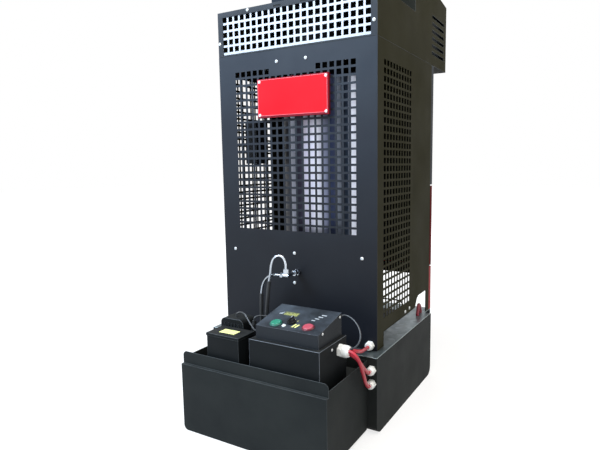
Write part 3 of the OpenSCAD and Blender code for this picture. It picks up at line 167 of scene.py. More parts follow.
def build_tone_group():
    """A slow drift between two tones over the surface."""
    group, start, end = new_group(
        "tone_drift",
        [("First", COLOUR, (0.5, 0.5, 0.5, 1)), ("Second", COLOUR, (0.4, 0.4, 0.4, 1)), ("Scale", FLOAT, 6.0),
         ("Stretch", VECTOR, (1, 1, 1))],
        [("Color", COLOUR)])
    link = group.links.new
    noise = add_node(group, "ShaderNodeTexNoise", {"Detail": 6, "Roughness": 0.6})
    blend = add_node(group, "ShaderNodeMix", data_type="RGBA")
    link(stretched_place(group, start), noise.inputs["Vector"])
    link(start.outputs["Scale"], noise.inputs["Scale"])
    link(spread_noise(group, noise, 0.35, 0.65).outputs["Result"], blend.inputs["Factor"])
    link(start.outputs["First"], blend.inputs["A"])
    link(start.outputs["Second"], blend.inputs["B"])
    link(blend.outputs["Result"], end.inputs["Color"])
    return group


def build_dust_and_sheen_group():
    """Dust that settles on faces that look upwards, thicker in patches; on the control box it is also a
    painted sheen.
    """
    group, start, end = new_group(
        "settled_dust_and_sheen",
        [("Color", COLOUR, (0.1, 0.1, 0.1, 1)), ("Dust", COLOUR, (0.35, 0.34, 0.32, 1)),
         ("Amount", FLOAT, 0.3)],
        [("Color", COLOUR)])
    link = group.links.new
    shape = add_node(group, "ShaderNodeNewGeometry")
    axes = add_node(group, "ShaderNodeSeparateXYZ")
    upward = add_node(group, "ShaderNodeMapRange", {"From Min": LEAST_UPWARD})
    patches = add_node(group, "ShaderNodeTexNoise", {"Scale": DUST_PATCHES, "Detail": 8, "Roughness": 0.65})
    both = add_node(group, "ShaderNodeMath", operation="MULTIPLY")
    scaled = add_node(group, "ShaderNodeMath", operation="MULTIPLY")
    blend = add_node(group, "ShaderNodeMix", data_type="RGBA")
    link(shape.outputs["Normal"], axes.inputs[0])
    link(axes.outputs["Z"], upward.inputs["Value"])
    link(object_place(group), patches.inputs["Vector"])
    link(upward.outputs["Result"], both.inputs[0])
    link(spread_noise(group, patches, 0.35, 0.75).outputs["Result"], both.inputs[1])
    link(both.outputs[0], scaled.inputs[0])
    link(start.outputs["Amount"], scaled.inputs[1])
    link(scaled.outputs[0], blend.inputs["Factor"])
    link(start.outputs["Color"], blend.inputs["A"])
    link(start.outputs["Dust"], blend.inputs["B"])
    link(blend.outputs["Result"], end.inputs["Color"])
    return group


def build_spangle_group():
    """The crystal pattern of galvanised sheet."""
    group, start, end = new_group(
        "zinc_spangle",
        [("Light", COLOUR, (0.5, 0.5, 0.5, 1)), ("Dark", COLOUR, (0.3, 0.3, 0.3, 1)), ("Scale", FLOAT, 60.0)],
        [("Color", COLOUR), ("Roughness", FLOAT)])
    link = group.links.new
    cells = add_node(group, "ShaderNodeTexVoronoi", feature="F1")
    split = add_node(group, "ShaderNodeSeparateColor")
    blend = add_node(group, "ShaderNodeMix", data_type="RGBA")
    gloss = add_node(group, "ShaderNodeMapRange", {"To Min": ZINC_SMOOTH, "To Max": ZINC_ROUGH})
    link(object_place(group), cells.inputs["Vector"])
    link(start.outputs["Scale"], cells.inputs["Scale"])
    link(cells.outputs["Color"], split.inputs[0])
    link(split.outputs["Red"], blend.inputs["Factor"])
    link(start.outputs["Light"], blend.inputs["A"])
    link(start.outputs["Dark"], blend.inputs["B"])
    link(split.outputs["Green"], gloss.inputs["Value"])
    link(blend.outputs["Result"], end.inputs["Color"])
    link(gloss.outputs["Result"], end.inputs["Roughness"])
    return group


GRAIN = build_grain_group()
TONES = build_tone_group()
DUST_AND_SHEEN = build_dust_and_sheen_group()
SPANGLE = build_spangle_group()


# Materials

def linear(hex_colour):
    """A colour from the screen's scale, as Blender's sockets take it."""
    parts = [int(hex_colour[i:i + 2], 16) / 255 for i in (1, 3, 5)]
    return tuple(p / 12.92 if p <= 0.04045 else ((p + 0.055) / 1.055) ** 2.4 for p in parts) + (1.0,)


def new_material(name):
    """A material with its node tree and its shader."""
    material = bpy.data.materials.new(name)
    material.use_nodes = True
    return material, material.node_tree, material.node_tree.nodes["Principled BSDF"]


def use_group(tree, group, **values):
    """Places a shader group in a material and sets its inputs."""
    return add_node(tree, "ShaderNodeGroup", values, node_tree=group)


COAT_ROUGHNESS = 0.1


def finish_material(name, first, second, smooth=0.4, rough=0.5, scale=320.0, stretch=(1, 1, 1), depth=0.12,
                    drift=6.0, drift_stretch=(1, 1, 1), dust=0.0, dust_and_sheen_colour="#8b8984", metal=0.0,
                    specular=0.5, coat=0.0):
    """A paint, metal or plastic: two drifting tones, grain in its relief and gloss, and dust on top, which on
    the control box is also a painted sheen.
    """
    material, tree, shader = new_material(name)
    shader.inputs["Metallic"].default_value = metal
    shader.inputs["Specular IOR Level"].default_value = specular
    shader.inputs["Coat Weight"].default_value = coat
    shader.inputs["Coat Roughness"].default_value = COAT_ROUGHNESS
    tones = use_group(tree, TONES, First=linear(first), Second=linear(second), Scale=drift,
                      Stretch=drift_stretch)
    grain = use_group(tree, GRAIN, Scale=scale, Stretch=stretch, Depth=depth, Smooth=smooth, Rough=rough)
    colour = tones.outputs["Color"]
    if dust > 0:
        dust_and_sheen_layer = use_group(tree, DUST_AND_SHEEN, Dust=linear(dust_and_sheen_colour), Amount=dust)
        tree.links.new(colour, dust_and_sheen_layer.inputs["Color"])
        colour = dust_and_sheen_layer.outputs["Color"]
    tree.links.new(colour, shader.inputs["Base Color"])
    tree.links.new(grain.outputs["Roughness"], shader.inputs["Roughness"])
    tree.links.new(grain.outputs["Normal"], shader.inputs["Normal"])
    return material


def galvanised_material(name, light, dark):
    """Galvanised sheet: spangle in its colour and gloss."""
    material, tree, shader = new_material(name)
    shader.inputs["Metallic"].default_value = 0.85
    zinc = use_group(tree, SPANGLE, Light=linear(light), Dark=linear(dark), Scale=70.0)
    dust = use_group(tree, DUST_AND_SHEEN, Dust=linear("#6f7472"), Amount=0.2)
    grain = use_group(tree, GRAIN, Scale=240.0, Depth=0.08, Smooth=0.36, Rough=0.52)
    tree.links.new(zinc.outputs["Color"], dust.inputs["Color"])
    tree.links.new(dust.outputs["Color"], shader.inputs["Base Color"])
    tree.links.new(zinc.outputs["Roughness"], shader.inputs["Roughness"])
    tree.links.new(grain.outputs["Normal"], shader.inputs["Normal"])
    return material


MATERIALS = {
    "black_paint": finish_material("black_powder_coat", "#191e26", "#1f252d", 0.5, 0.62, 420, depth=0.09,
                                   dust=0.06, specular=0.2),
    "grey_deck": galvanised_material("galvanised_sheet", "#77838a", "#646f74"),
    "red_paint": finish_material("red_enamel", "#94141c", "#a01a22", 0.44, 0.54, 380, depth=0.05,
                                 specular=0.15),
    "plate_red": finish_material("red_plate_enamel", "#f31a26", "#f9202b", 0.5, 0.6, 260, depth=0.03,
                                 specular=0.05),
    "white_grille": finish_material("white_enamel", "#b7bdc6", "#aeb4be", 0.4, 0.55, 380, depth=0.06,
                                    dust=0.12),
    "drum_steel": finish_material("stainless_sheet_painted_reflections", "#f4f5fd", "#c9ccda", 0.3, 0.4, 260,
                                  stretch=(0.03, 0.03, 1), depth=0.45, drift=10, drift_stretch=(1, 1, 0.03),
                                  metal=1.0),
    "cast_iron": finish_material("cast_iron", "#343230", "#4b443e", 0.6, 0.85, 160, depth=0.5, drift=24,
                                 specular=0.3),
    "zinc": finish_material("zinc_plate", "#a2a8ad", "#83898f", 0.3, 0.5, 200, depth=0.1, drift=18,
                            metal=0.85),
    "chrome_tube": finish_material("bright_tube", "#b9bfc6", "#989fa8", 0.16, 0.3, 300, depth=0.03,
                                   metal=1.0),
    "aluminium": finish_material("die_cast_aluminium", "#9a9ea1", "#7f8386", 0.45, 0.65, 220, depth=0.3,
                                 drift=30, metal=0.9),
    "brass": finish_material("turned_brass", "#b38b42", "#93703a", 0.3, 0.5, 260, depth=0.08, drift=20,
                             metal=1.0),
    "black_plastic": finish_material("black_moulding", "#101214", "#16181b", 0.45, 0.6, 500, depth=0.15,
                                     specular=0.2),
    "white_nylon": finish_material("white_nylon", "#f4f6f5", "#e9ecec", 0.35, 0.5, 400, depth=0.05, drift=20),
    "green_plastic": finish_material("green_cap", "#257f66", "#21745d", 0.25, 0.35, 400, depth=0.03,
                                     coat=0.3),
    "red_plastic": finish_material("red_cap", "#b04e5b", "#a64553", 0.25, 0.35, 400, depth=0.03, coat=0.3),
    "teal_ring": finish_material("dark_ring", "#0f4a40", "#12544a", 0.3, 0.45, 400, depth=0.05),
    "lamp_lens": finish_material("lamp_lens", "#dfe6e6", "#cfd8d8", 0.08, 0.16, 300, depth=0.02, coat=0.5),
    "red_silicone": finish_material("red_silicone", "#bd2438", "#a01b2d", 0.35, 0.5, 260, depth=0.12,
                                    drift=30, coat=0.15),
    "black_rubber": finish_material("cable_sheath", "#26292e", "#32363b", 0.35, 0.5, 300, depth=0.08,
                                    drift=26),
    "float_foam": finish_material("float_foam", "#d4cfc0", "#c4bda9", 0.75, 0.9, 160, depth=0.5, drift=40),
    "screw_white": finish_material("white_screw_head", "#e3e6e8", "#d3d7da", 0.25, 0.4, 300, depth=0.03),
}
LOWER_PAINT = finish_material("tank_powder_coat", "#1b1e1f", "#232626", 0.6, 0.72, 420, depth=0.09, dust=0.08,
                              specular=0.1)
COVER_PAINT = finish_material("cover_powder_coat", "#0d1012", "#121517", 0.55, 0.68, 420, depth=0.09,
                              dust=0.08, specular=0.1)
# A lighter zinc for the deck's rounded folds: a painted highlight.
ZINC_FOLD_HIGHLIGHT = finish_material("zinc_fold_painted_highlight", "#b9c6c8", "#a3b1b3", 0.3, 0.42, 300, depth=0.05, metal=0.7)
# The control box's heavy blue-grey layer on its upward faces is dust and a painted sheen that lightens its
# top.
BOX_PAINT = finish_material("control_box_paint", "#14181c", "#191d22", 0.5, 0.62, 420, depth=0.09, dust=0.38,
                            dust_and_sheen_colour="#67727f", specular=0.2)
# A darker, olive copy of the black paint for the sides, the casing's overhang and the top deck: painted shade
# and a painted warm reflection.
SIDE_PAINTED_SHADE = finish_material("side_coat_painted_shade", "#28271b", "#2e2d20", 0.56, 0.68, 420, depth=0.09,
                             specular=0.04)
# A copy of the black paint for the roof's step and the casing's undersides: painted shade.
STEP_PAINTED_SHADE = finish_material("roof_step_painted_shade", "#21272f", "#272d35", 0.56, 0.68, 420, depth=0.09,
                             specular=0.04)
INSIDE_BLACK = finish_material("unlit_black_inside", "#121316", "#1a1c1f", 0.6, 0.75, 300, depth=0.1,
                               specular=0.2)
# Lighter paints for rounded edges: painted highlights along the edges.
EDGE_HIGHLIGHT = finish_material("painted_highlight_black_edge", "#454b52", "#30363c", 0.32, 0.45, 420, depth=0.05, drift=40)
LOWER_EDGE_HIGHLIGHT = finish_material("painted_highlight_lower_edge", "#3b4144", "#2c3134", 0.45, 0.6, 420, depth=0.05, drift=40,
                             specular=0.25)
DARK_RED = finish_material("shaded_red_rim", "#8c1520", "#981b26", 0.5, 0.6, 260, depth=0.03, specular=0.08)
# A darker red for the door's end flanges: painted shade.
SHADED_RED_FLANGE = finish_material("shaded_red_flange", "#5a1013", "#651418", 0.56, 0.68, 300, depth=0.04,
                             specular=0.04)
RED_RING = finish_material("dark_red_ring", "#4f1420", "#5a1826", 0.3, 0.45, 400, depth=0.05)
# A still lighter edge for the control and terminal boxes: a painted highlight.
BOX_EDGE_HIGHLIGHT = finish_material("painted_highlight_box_edge", "#6a7078", "#565c64", 0.36, 0.5, 420, depth=0.05, drift=40,
                           specular=0.3)
RIM_RED = finish_material("plate_rim_shade", "#6a1622", "#781a28", 0.5, 0.6, 260, depth=0.03, specular=0.08)
# A pale pink for the line inside the plate's border: a painted highlight.
PLATE_HIGHLIGHT_LINE = finish_material("painted_red_highlight", "#f07a84", "#e8606c", 0.3, 0.42, 260, depth=0.04, drift=30)
YELLOW_LABEL = finish_material("yellow_label", "#e6e8a0", "#dadb8a", 0.4, 0.5, 260, depth=0.03, drift=26)
# A darker red for the lead on the deck inside the cabinet: painted shade.
SHADED_SILICONE = finish_material("shaded_silicone", "#7c2634", "#6a1e2a", 0.45, 0.6, 260, depth=0.12, drift=30)
SLEEVE = finish_material("black_sleeve", "#15181a", "#1d2023", 0.5, 0.65, 240, depth=0.2, drift=20)
PALE_PRINT = finish_material("pale_print", "#aeb5bb", "#9ba2a8", 0.4, 0.5, 300, depth=0.02)
YELLOW_PRINT = finish_material("yellow_print", "#a8a962", "#969855", 0.4, 0.5, 300, depth=0.02)
OLIVE_PRINT = finish_material("olive_print", "#5f6440", "#555a3a", 0.45, 0.55, 300, depth=0.02)
BRIGHT_PRINT = finish_material("bright_yellow_print", "#e6e690", "#d8d884", 0.4, 0.5, 300, depth=0.02)
RECESS = finish_material("recess_shadow", "#3c4044", "#4a4f54", 0.6, 0.8, 300, depth=0.05)

FLUE_DARK_FROM, DARK_END_ROUGHNESS = 0.94, 0.7


def paint_shade_above(material, height, colour):
    """Gives a pipe a matt black above a height, where it runs through the casing and the roof: painted shade.
    """
    tree = material.node_tree
    shader = tree.nodes["Principled BSDF"]
    above = add_node(tree, "ShaderNodeMath", {1: height}, operation="GREATER_THAN")
    bare = add_node(tree, "ShaderNodeMath", {0: 1}, operation="SUBTRACT")
    blend = add_node(tree, "ShaderNodeMix", {"B": linear(colour)}, data_type="RGBA")
    gloss = add_node(tree, "ShaderNodeMix", {"B": DARK_END_ROUGHNESS})
    tree.links.new(place_axes(tree)["Z"], above.inputs[0])
    tree.links.new(above.outputs[0], bare.inputs[1])
    tree.links.new(above.outputs[0], blend.inputs["Factor"])
    tree.links.new(above.outputs[0], gloss.inputs["Factor"])
    tree.links.new(shader.inputs["Base Color"].links[0].from_socket, blend.inputs["A"])
    tree.links.new(shader.inputs["Roughness"].links[0].from_socket, gloss.inputs["A"])
    tree.links.new(blend.outputs["Result"], shader.inputs["Base Color"])
    tree.links.new(gloss.outputs["Result"], shader.inputs["Roughness"])
    tree.links.new(bare.outputs[0], shader.inputs["Metallic"])


def add_painted_light_bands(material, axis, start, end, stops):
    """Multiplies a finish's tone by soft bands along an axis, given as places in millimetres and tones:
    painted light and shade.
    """
    tree = material.node_tree
    shader = tree.nodes["Principled BSDF"]
    across = add_node(tree, "ShaderNodeMapRange", {"From Min": start * MM, "From Max": end * MM})
    bands = add_node(tree, "ShaderNodeValToRGB")
    ramp = bands.color_ramp
    ramp.interpolation = "EASE"
    while len(ramp.elements) < len(stops):
        ramp.elements.new(0.5)
    for element, (at, tone) in zip(ramp.elements, stops):
        element.position = (at - start) / (end - start)
        element.color = linear(tone)
    blend = add_node(tree, "ShaderNodeMix", {"Factor": 1}, data_type="RGBA", blend_type="MULTIPLY")
    tree.links.new(place_axes(tree)[axis], across.inputs["Value"])
    tree.links.new(across.outputs["Result"], bands.inputs["Fac"])
    tree.links.new(shader.inputs["Base Color"].links[0].from_socket, blend.inputs["A"])
    tree.links.new(bands.outputs["Color"], blend.inputs["B"])
    tree.links.new(blend.outputs["Result"], shader.inputs["Base Color"])


# The flue turns black above a height: painted shade inside the casing.
FLUE_STEEL = finish_material("flue_sheet", "#eef0fa", "#c3c7d6", 0.3, 0.4, 260, stretch=(0.03, 0.03, 1),
                             depth=0.45, drift=10, drift_stretch=(1, 1, 0.03), metal=1.0, specular=0.15)
paint_shade_above(FLUE_STEEL, FLUE_DARK_FROM, "#14171b")

# Bright and dark bands across the drum: painted reflections.
DRUM_RADIUS = 156
add_painted_light_bands(MATERIALS["drum_steel"], "X", -DRUM_RADIUS, DRUM_RADIUS, [
    (-150, "#3a3e46"), (-76, "#33373f"), (-68, "#e8ebf2"), (-46, "#dfe3ec"), (-38, "#3f3f4b"),
    (-18, "#4a4554"), (-10, "#f3eefa"), (36, "#ffffff"), (54, "#a9b0c6"), (68, "#4c5878"), (79, "#59627c"),
    (84, "#b9c2cc"), (91, "#b9c2cc"), (96, "#333c48"), (108, "#3a4450"), (113, "#ffffff")])

# The rear sheet's paint darkens towards its foot: painted shade.
REAR_LOW, REAR_HIGH = 200, 1120
REAR_PAINTED_SHADE = finish_material("rear_powder_coat_painted_shade", "#1b222d", "#212933", 0.5, 0.62, 420, depth=0.09, dust=0.06,
                             specular=0.2)
add_painted_light_bands(REAR_PAINTED_SHADE, "Z", REAR_LOW, REAR_HIGH, [
    (240, "#8a868c"), (440, "#969294"), (560, "#a8a6a8"), (760, "#d2d0d2"), (960, "#f8f8f8"),
    (1110, "#ffffff")])

# The step and the undersides darken and warm towards the casing's right end: painted shade.
CASING_HALF = 271
add_painted_light_bands(STEP_PAINTED_SHADE, "X", -CASING_HALF, CASING_HALF, [(60, "#ffffff"), (150, "#ceb98c")])

slot_of = {row["node"]: row["material_slot"] for row in frame["record"]["subparts"]}
# These parts' own finishes carry painted shade and painted reflections.
OWN_PAINT_WITH_PAINTED_LIGHT = {"flue_pipe": FLUE_STEEL, "rear_panel": REAR_PAINTED_SHADE, "side_panel_right": SIDE_PAINTED_SHADE,
             "side_panel_left": SIDE_PAINTED_SHADE, "top_deck": SIDE_PAINTED_SHADE}
for name, node in nodes.items():
    node.data.materials.clear()
    node.data.materials.append(OWN_PAINT_WITH_PAINTED_LIGHT.get(name, MATERIALS[slot_of[name]]))


# Building help

SMOOTH_BELOW, FOLD_FROM, FLAT_BELOW = math.radians(35), math.radians(40), math.radians(0.6)
WELD_DISTANCE, BEND_SEGMENTS = 2e-6, 2


def put_in_scene(mesh_name, bm, materials):
    """Makes an object at the origin from a bmesh that is already in place."""
    mesh = bpy.data.meshes.new(mesh_name)
    bmesh.ops.recalc_face_normals(bm, faces=bm.faces)
    bm.to_mesh(mesh)
    bm.free()
    for material in materials:
        mesh.materials.append(material)
    mesh.shade_smooth()
    mesh.set_sharp_from_angle(angle=SMOOTH_BELOW)
    piece = bpy.data.objects.new(mesh_name, mesh)
    bpy.context.scene.collection.objects.link(piece)
    return piece


def bend_edges(node_name, width, edge_material, paint=None, others=(), pick=None):
    """The node's sheet with its folded edges rounded, on a copy that stands for the node.

    The width is in millimetres, and a width of 0 leaves the edges sharp. The pick function says which of the
    other finishes a face gets, counted from 1, or 0 for the node's own paint.
    """
    bm = bmesh.new()
    bm.from_mesh(nodes[node_name].data)
    bmesh.ops.remove_doubles(bm, verts=bm.verts, dist=WELD_DISTANCE)
    bmesh.ops.dissolve_limit(bm, angle_limit=FLAT_BELOW, verts=bm.verts, edges=bm.edges)
    if width > 0:
        sharp = [e for e in bm.edges if len(e.link_faces) == 2 and e.calc_face_angle(0) > FOLD_FROM]
        made = bmesh.ops.bevel(bm, geom=sharp, offset=width * MM, segments=BEND_SEGMENTS, profile=0.5,
                               affect="EDGES", clamp_overlap=True, material=-1)
        for face in made["faces"]:
            face.material_index = 1
    for face in bm.faces:
        choice = pick(face) if pick and face.material_index == 0 else 0
        if choice:
            face.material_index = 1 + choice
    body_paint = paint or MATERIALS[slot_of[node_name]]
    piece = put_in_scene(node_name + "_bent", bm, [body_paint, edge_material, *others])
    even = piece.modifiers.new("flat_faces_stay_flat", "WEIGHTED_NORMAL")
    even.keep_sharp = True
    even.weight = 100
    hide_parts(node_name)
    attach(piece, nodes[node_name]["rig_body"])
    return piece


def smooth_route(points, steps):
    """Points along a Catmull-Rom curve through the given ones."""
    route = []
    for i in range(len(points) - 1):
        a, b = points[max(i - 1, 0)], points[i]
        c, d = points[i + 1], points[min(i + 2, len(points) - 1)]
        for k in range(steps):
            t = k / steps
            route.append(0.5 * (2 * b + (c - a) * t + (2 * a - 5 * b + 4 * c - d) * t ** 2
                                + (3 * b - a - 3 * c + d) * t ** 3))
    route.append(points[-1])
    return route


def sweep(bm, points_mm, radius, sides=20, steps=8, material=0):
    """A round tube along a smooth route, with closed ends, added to a bmesh."""
    route = smooth_route([Vector(p) * MM for p in points_mm], steps)
    rings = []
    side = None
    for i, centre in enumerate(route):
        ahead = (route[min(i + 1, len(route) - 1)] - route[max(i - 1, 0)]).normalized()
        if side is None:
            side = ahead.cross(Vector((1, 0, 0)) if abs(ahead.x) < 0.7 else Vector((0, 1, 0))).normalized()
        side = (side - side.dot(ahead) * ahead).normalized()
        turn = Matrix((side, ahead.cross(side), ahead)).transposed().to_4x4()
        turn.translation = centre
        made = bmesh.ops.create_circle(bm, cap_ends=False, segments=sides, radius=radius * MM, matrix=turn)
        rings.append(made["verts"])
    for near, far in zip(rings, rings[1:]):
        near_edges = [e for e in {e for v in near for e in v.link_edges} if all(v in near for v in e.verts)]
        far_edges = [e for e in {e for v in far for e in v.link_edges} if all(v in far for v in e.verts)]
        for face in bmesh.ops.bridge_loops(bm, edges=near_edges + far_edges)["faces"]:
            face.material_index = material
    for ring in (rings[0], rings[-1]):
        bm.faces.new(ring).material_index = material


# Bent sheet parts

CABINET_FRONT_Y, ROOF_STEP_Y, NEAR_STEP = 252.5, 94, 3
KNOB_X, KNOB_UP = 109.5, 34.0
FACING = 0.7


def casing_painted_shade(face):
    """The casing's ends and its overhang have the side finish, painted shade; its step and its undersides are
    darker, painted shade.
    """
    middle_y = face.calc_center_median().y
    on_step = face.normal.y < -FACING and abs(middle_y - ROOF_STEP_Y * MM) < NEAR_STEP * MM
    if on_step or face.normal.z < -FACING:
        return 2
    return int(abs(face.normal.x) > FACING or middle_y > CABINET_FRONT_Y * MM)


def door_finish(face):
    """A door or panel is dark behind, and its end flanges take its second finish, on the door a darker red as
    painted shade.
    """
    return 1 if face.normal.y < -FACING else 2 if abs(face.normal.x) > FACING else 0


def shaded_hole_walls(face):
    """The walls of a pierced sheet's holes, which are painted black as shade."""
    return int(abs(face.normal.y) < FACING)


def right_hand(face):
    """The half of a piece that stands to the right of the selector."""
    return int(face.calc_center_median().x > KNOB_X * MM)


BLACK_PAINT = MATERIALS["black_paint"]
# Each part's edge finish goes on its rounded edges: the lighter ones are painted highlights, the dark reds
# painted shade.
bent_parts = [
    ("top_casing", 0.7, LOWER_EDGE_HIGHLIGHT, {"others": [SIDE_PAINTED_SHADE, STEP_PAINTED_SHADE], "pick": casing_painted_shade}),
    ("top_grille", 0, EDGE_HIGHLIGHT, {"others": [INSIDE_BLACK], "pick": shaded_hole_walls}),
    ("button_rings", 0, EDGE_HIGHLIGHT, {"others": [RED_RING], "pick": right_hand}),
    ("thermostat_box", 1.2, EDGE_HIGHLIGHT, {}),
    ("level_switch", 0.5, EDGE_HIGHLIGHT, {}),
    ("flue_collar", 0.5, EDGE_HIGHLIGHT, {}),
    ("pump_motor", 1.0, EDGE_HIGHLIGHT, {"paint": COVER_PAINT}),
    ("base_tray", 0.6, LOWER_EDGE_HIGHLIGHT, {"paint": LOWER_PAINT}),
    ("fuel_tank", 0.55, LOWER_EDGE_HIGHLIGHT, {"paint": LOWER_PAINT}),
    ("tank_cover", 0.4, LOWER_EDGE_HIGHLIGHT, {"paint": LOWER_PAINT}),
    ("pump_cover", 0.9, LOWER_EDGE_HIGHLIGHT, {"paint": COVER_PAINT}),
    ("terminal_box", 1.0, BOX_EDGE_HIGHLIGHT, {"paint": COVER_PAINT}),
    ("base_deck", 0.7, ZINC_FOLD_HIGHLIGHT, {}),
    ("control_box", 1.3, BOX_EDGE_HIGHLIGHT, {"paint": BOX_PAINT}),
    ("front_panel", 0.6, EDGE_HIGHLIGHT, {"others": [INSIDE_BLACK, BLACK_PAINT], "pick": door_finish}),
    ("front_door", 0.6, DARK_RED, {"others": [INSIDE_BLACK, SHADED_RED_FLANGE], "pick": door_finish}),
    ("blank_plate", 0.7, RIM_RED, {}),
    ("cable_glands", 0.5, MATERIALS["white_nylon"], {}),
    ("green_button", 0.5, MATERIALS["green_plastic"], {}),
    ("red_button", 0.5, MATERIALS["red_plastic"], {}),
    ("selector_knob", 0.5, MATERIALS["black_plastic"], {}),
]
for name, width, edge_material, choices in bent_parts:
    bend_edges(name, width, edge_material, **choices)


# Leads, cables and tubes

def curve(start, leave, finish, arrive, count=24):
    """Points of a cubic curve between two points, whose handles are given as offsets from its ends."""
    points = []
    for i in range(count + 1):
        t = i / count
        u = 1 - t
        points.append(start * u ** 3 + (start + leave) * 3 * t * u * u + (finish + arrive) * 3 * t * t * u
                      + finish * t ** 3)
    return points


SUNK = 0.8


def lead_route(start, stub, out, finish, end_stub, back, count=24):
    """A lead's route: a straight stub out of one mouth, a free curve, and a stub into the next mouth."""
    start, stub, finish, end_stub = Vector(start), Vector(stub), Vector(finish), Vector(end_stub)
    free = curve(start + stub, Vector(out), finish + end_stub, Vector(back), count)
    return [start - stub * SUNK, start + stub / 2, *free, finish + end_stub / 2, finish - end_stub * SUNK]


def in_mouth(angle, radius):
    """A place in the mouth of the large gland."""
    turn = math.radians(angle)
    return GLAND_TIP + Vector((0, math.cos(turn), math.sin(turn))) * radius


def tube_piece(name, node_name, runs, materials):
    """Round tubes that stand for a node, each given as (points, radius, sides, steps, material)."""
    bm = bmesh.new()
    for points, radius, sides, steps, material in runs:
        sweep(bm, points, radius, sides, steps, material)
    piece = put_in_scene(name, bm, materials)
    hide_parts(node_name)
    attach(piece, "root")
    return piece


GLAND_TIP = Vector((241.9, -309, 248))
FOOT_TIP = (232, -189.4, 218)
BASE_TIPS = [(256.5, -234.4, 172), (256.5, -234.4, 136)]
LEAD_RADIUS, DECK_LEAD_RADIUS, CABLE_RADIUS, THIN_CABLE_RADIUS = 4.4, 5.4, 2.0, 1.8

red_leads = [
    lead_route(in_mouth(30, 5.5), (3, 0, 0), (23, 0, 0), FOOT_TIP, (0, -4, 0), (4, -40, 4)),
    lead_route(in_mouth(-90, 5.5), (3, 0, 0), (23, 0, -8), BASE_TIPS[0], (0, -4, 0), (0, -26, 15)),
    lead_route(in_mouth(150, 5.5), (3, 0, 0), (37, -4, -6), BASE_TIPS[1], (0, -4, 0), (4, -42, 28)),
]
DECK_LEAD_AT = Vector((240, 172, 204.4))
deck_lead = [DECK_LEAD_AT + Vector(p) for p in (
    (0, 0, -0.4), (0, 0, 3), (0, 3, 13), (-1, 10, 25), (-2, 18, 30), (-3, 27, 25), (-3, 33, 13), (-3, 36, 3),
    (-3, 36, -0.4))]
lead_runs = [(route, LEAD_RADIUS, 20, 2, 0) for route in red_leads]
tube_piece("red_leads", "silicone_leads", lead_runs + [(deck_lead, DECK_LEAD_RADIUS, 16, 8, 1)],
           [MATERIALS["red_silicone"], SHADED_SILICONE])

box_cable = lead_route((195.5, -279.1, 318), (0, 4, 0), (16, 30, 16),
                       in_mouth(90, 7.9), (4, 0, 0), (56, 0, 34))
MOTOR_TOP = Vector((-92, -318, 290.4))
BOX_LEFT = Vector((28.1, -366, 290))
motor_cable = lead_route(MOTOR_TOP, (0, 0, 4), (4, -2, 10), MOTOR_TOP + Vector((52, -22, 14)), (-6, 2, 2),
                         (-12, 5, 7), 12)[:-2]
motor_cable += [BOX_LEFT + Vector(p) for p in ((-30, 7, -9), (-14, 1, -4), (-4, 0, 0), (3, 0, 0))]
switch_cable = lead_route((-34, -318, 288.4), (0, 0, 4), (6, 4, 16),
                          (28.1, -284, 292), (-4, 0, 0), (-26, -4, 0))
tube_piece("black_cables", "control_cables",
           [(box_cable, CABLE_RADIUS, 14, 2, 0), (motor_cable, CABLE_RADIUS, 14, 4, 0),
            (switch_cable, THIN_CABLE_RADIUS, 14, 2, 0)], [MATERIALS["black_rubber"]])

TUBE_RADIUS, SLEEVE_RADIUS, FOOT_NUT = 3.5, 5.2, 10.3
FEED_Y = -232
feed_tube = [(-76, FEED_Y, 168.3), (-75.4, FEED_Y, 240), (-74.4, FEED_Y, 300), (-73.2, FEED_Y, 335),
             (-68.6, FEED_Y, 358), (-61, FEED_Y, 373), (-51, FEED_Y, 383), (-39, FEED_Y, 389.4),
             (-24, FEED_Y, 392.2), (-10, FEED_Y, 393), (-3, FEED_Y, 393), (2, FEED_Y, 393)]
vent_tube = [(-56, -241, 168.3), (-53.4, -241, 230), (-50.4, -241, 282), (-45, -241, 335), (-39.4, -241, 375),
             (-34.8, -241, 397), (-31.4, -240, 422), (-24.4, -237, 439), (-10, -234, 446.4), (3, -232, 441),
             (9.4, -232, 427), (10, -232, 413), (10, -232, 405)]


def sleeve_over(route, count):
    """The route of the sleeve over a tube's lower end, from the top of its foot nut."""
    foot = Vector(route[0]) + Vector((0, 0, FOOT_NUT))
    return [foot] + [Vector(p) for p in route[1:count]]


tube_piece("fuel_tubes", "fuel_pipes",
           [(feed_tube, TUBE_RADIUS, 20, 6, 0), (vent_tube, TUBE_RADIUS, 20, 6, 0),
            (sleeve_over(feed_tube, 4), SLEEVE_RADIUS, 20, 4, 1),
            (sleeve_over(vent_tube, 5), SLEEVE_RADIUS, 20, 4, 1)],
           [MATERIALS["chrome_tube"], SLEEVE])


# Screws

SCREW_PROFILE = [(4.6, 0.0), (4.6, 0.7), (4.3, 1.3), (3.6, 1.9), (2.7, 2.3), (1.9, 2.5)]
CROSS_LENGTH, CROSS_WIDTH, CROSS_LIFT, SECOND_LIFT = 4.2, 0.9, 2.52, 0.01
HEAD_STEPS, ON_LEVEL = 18, 1e-7


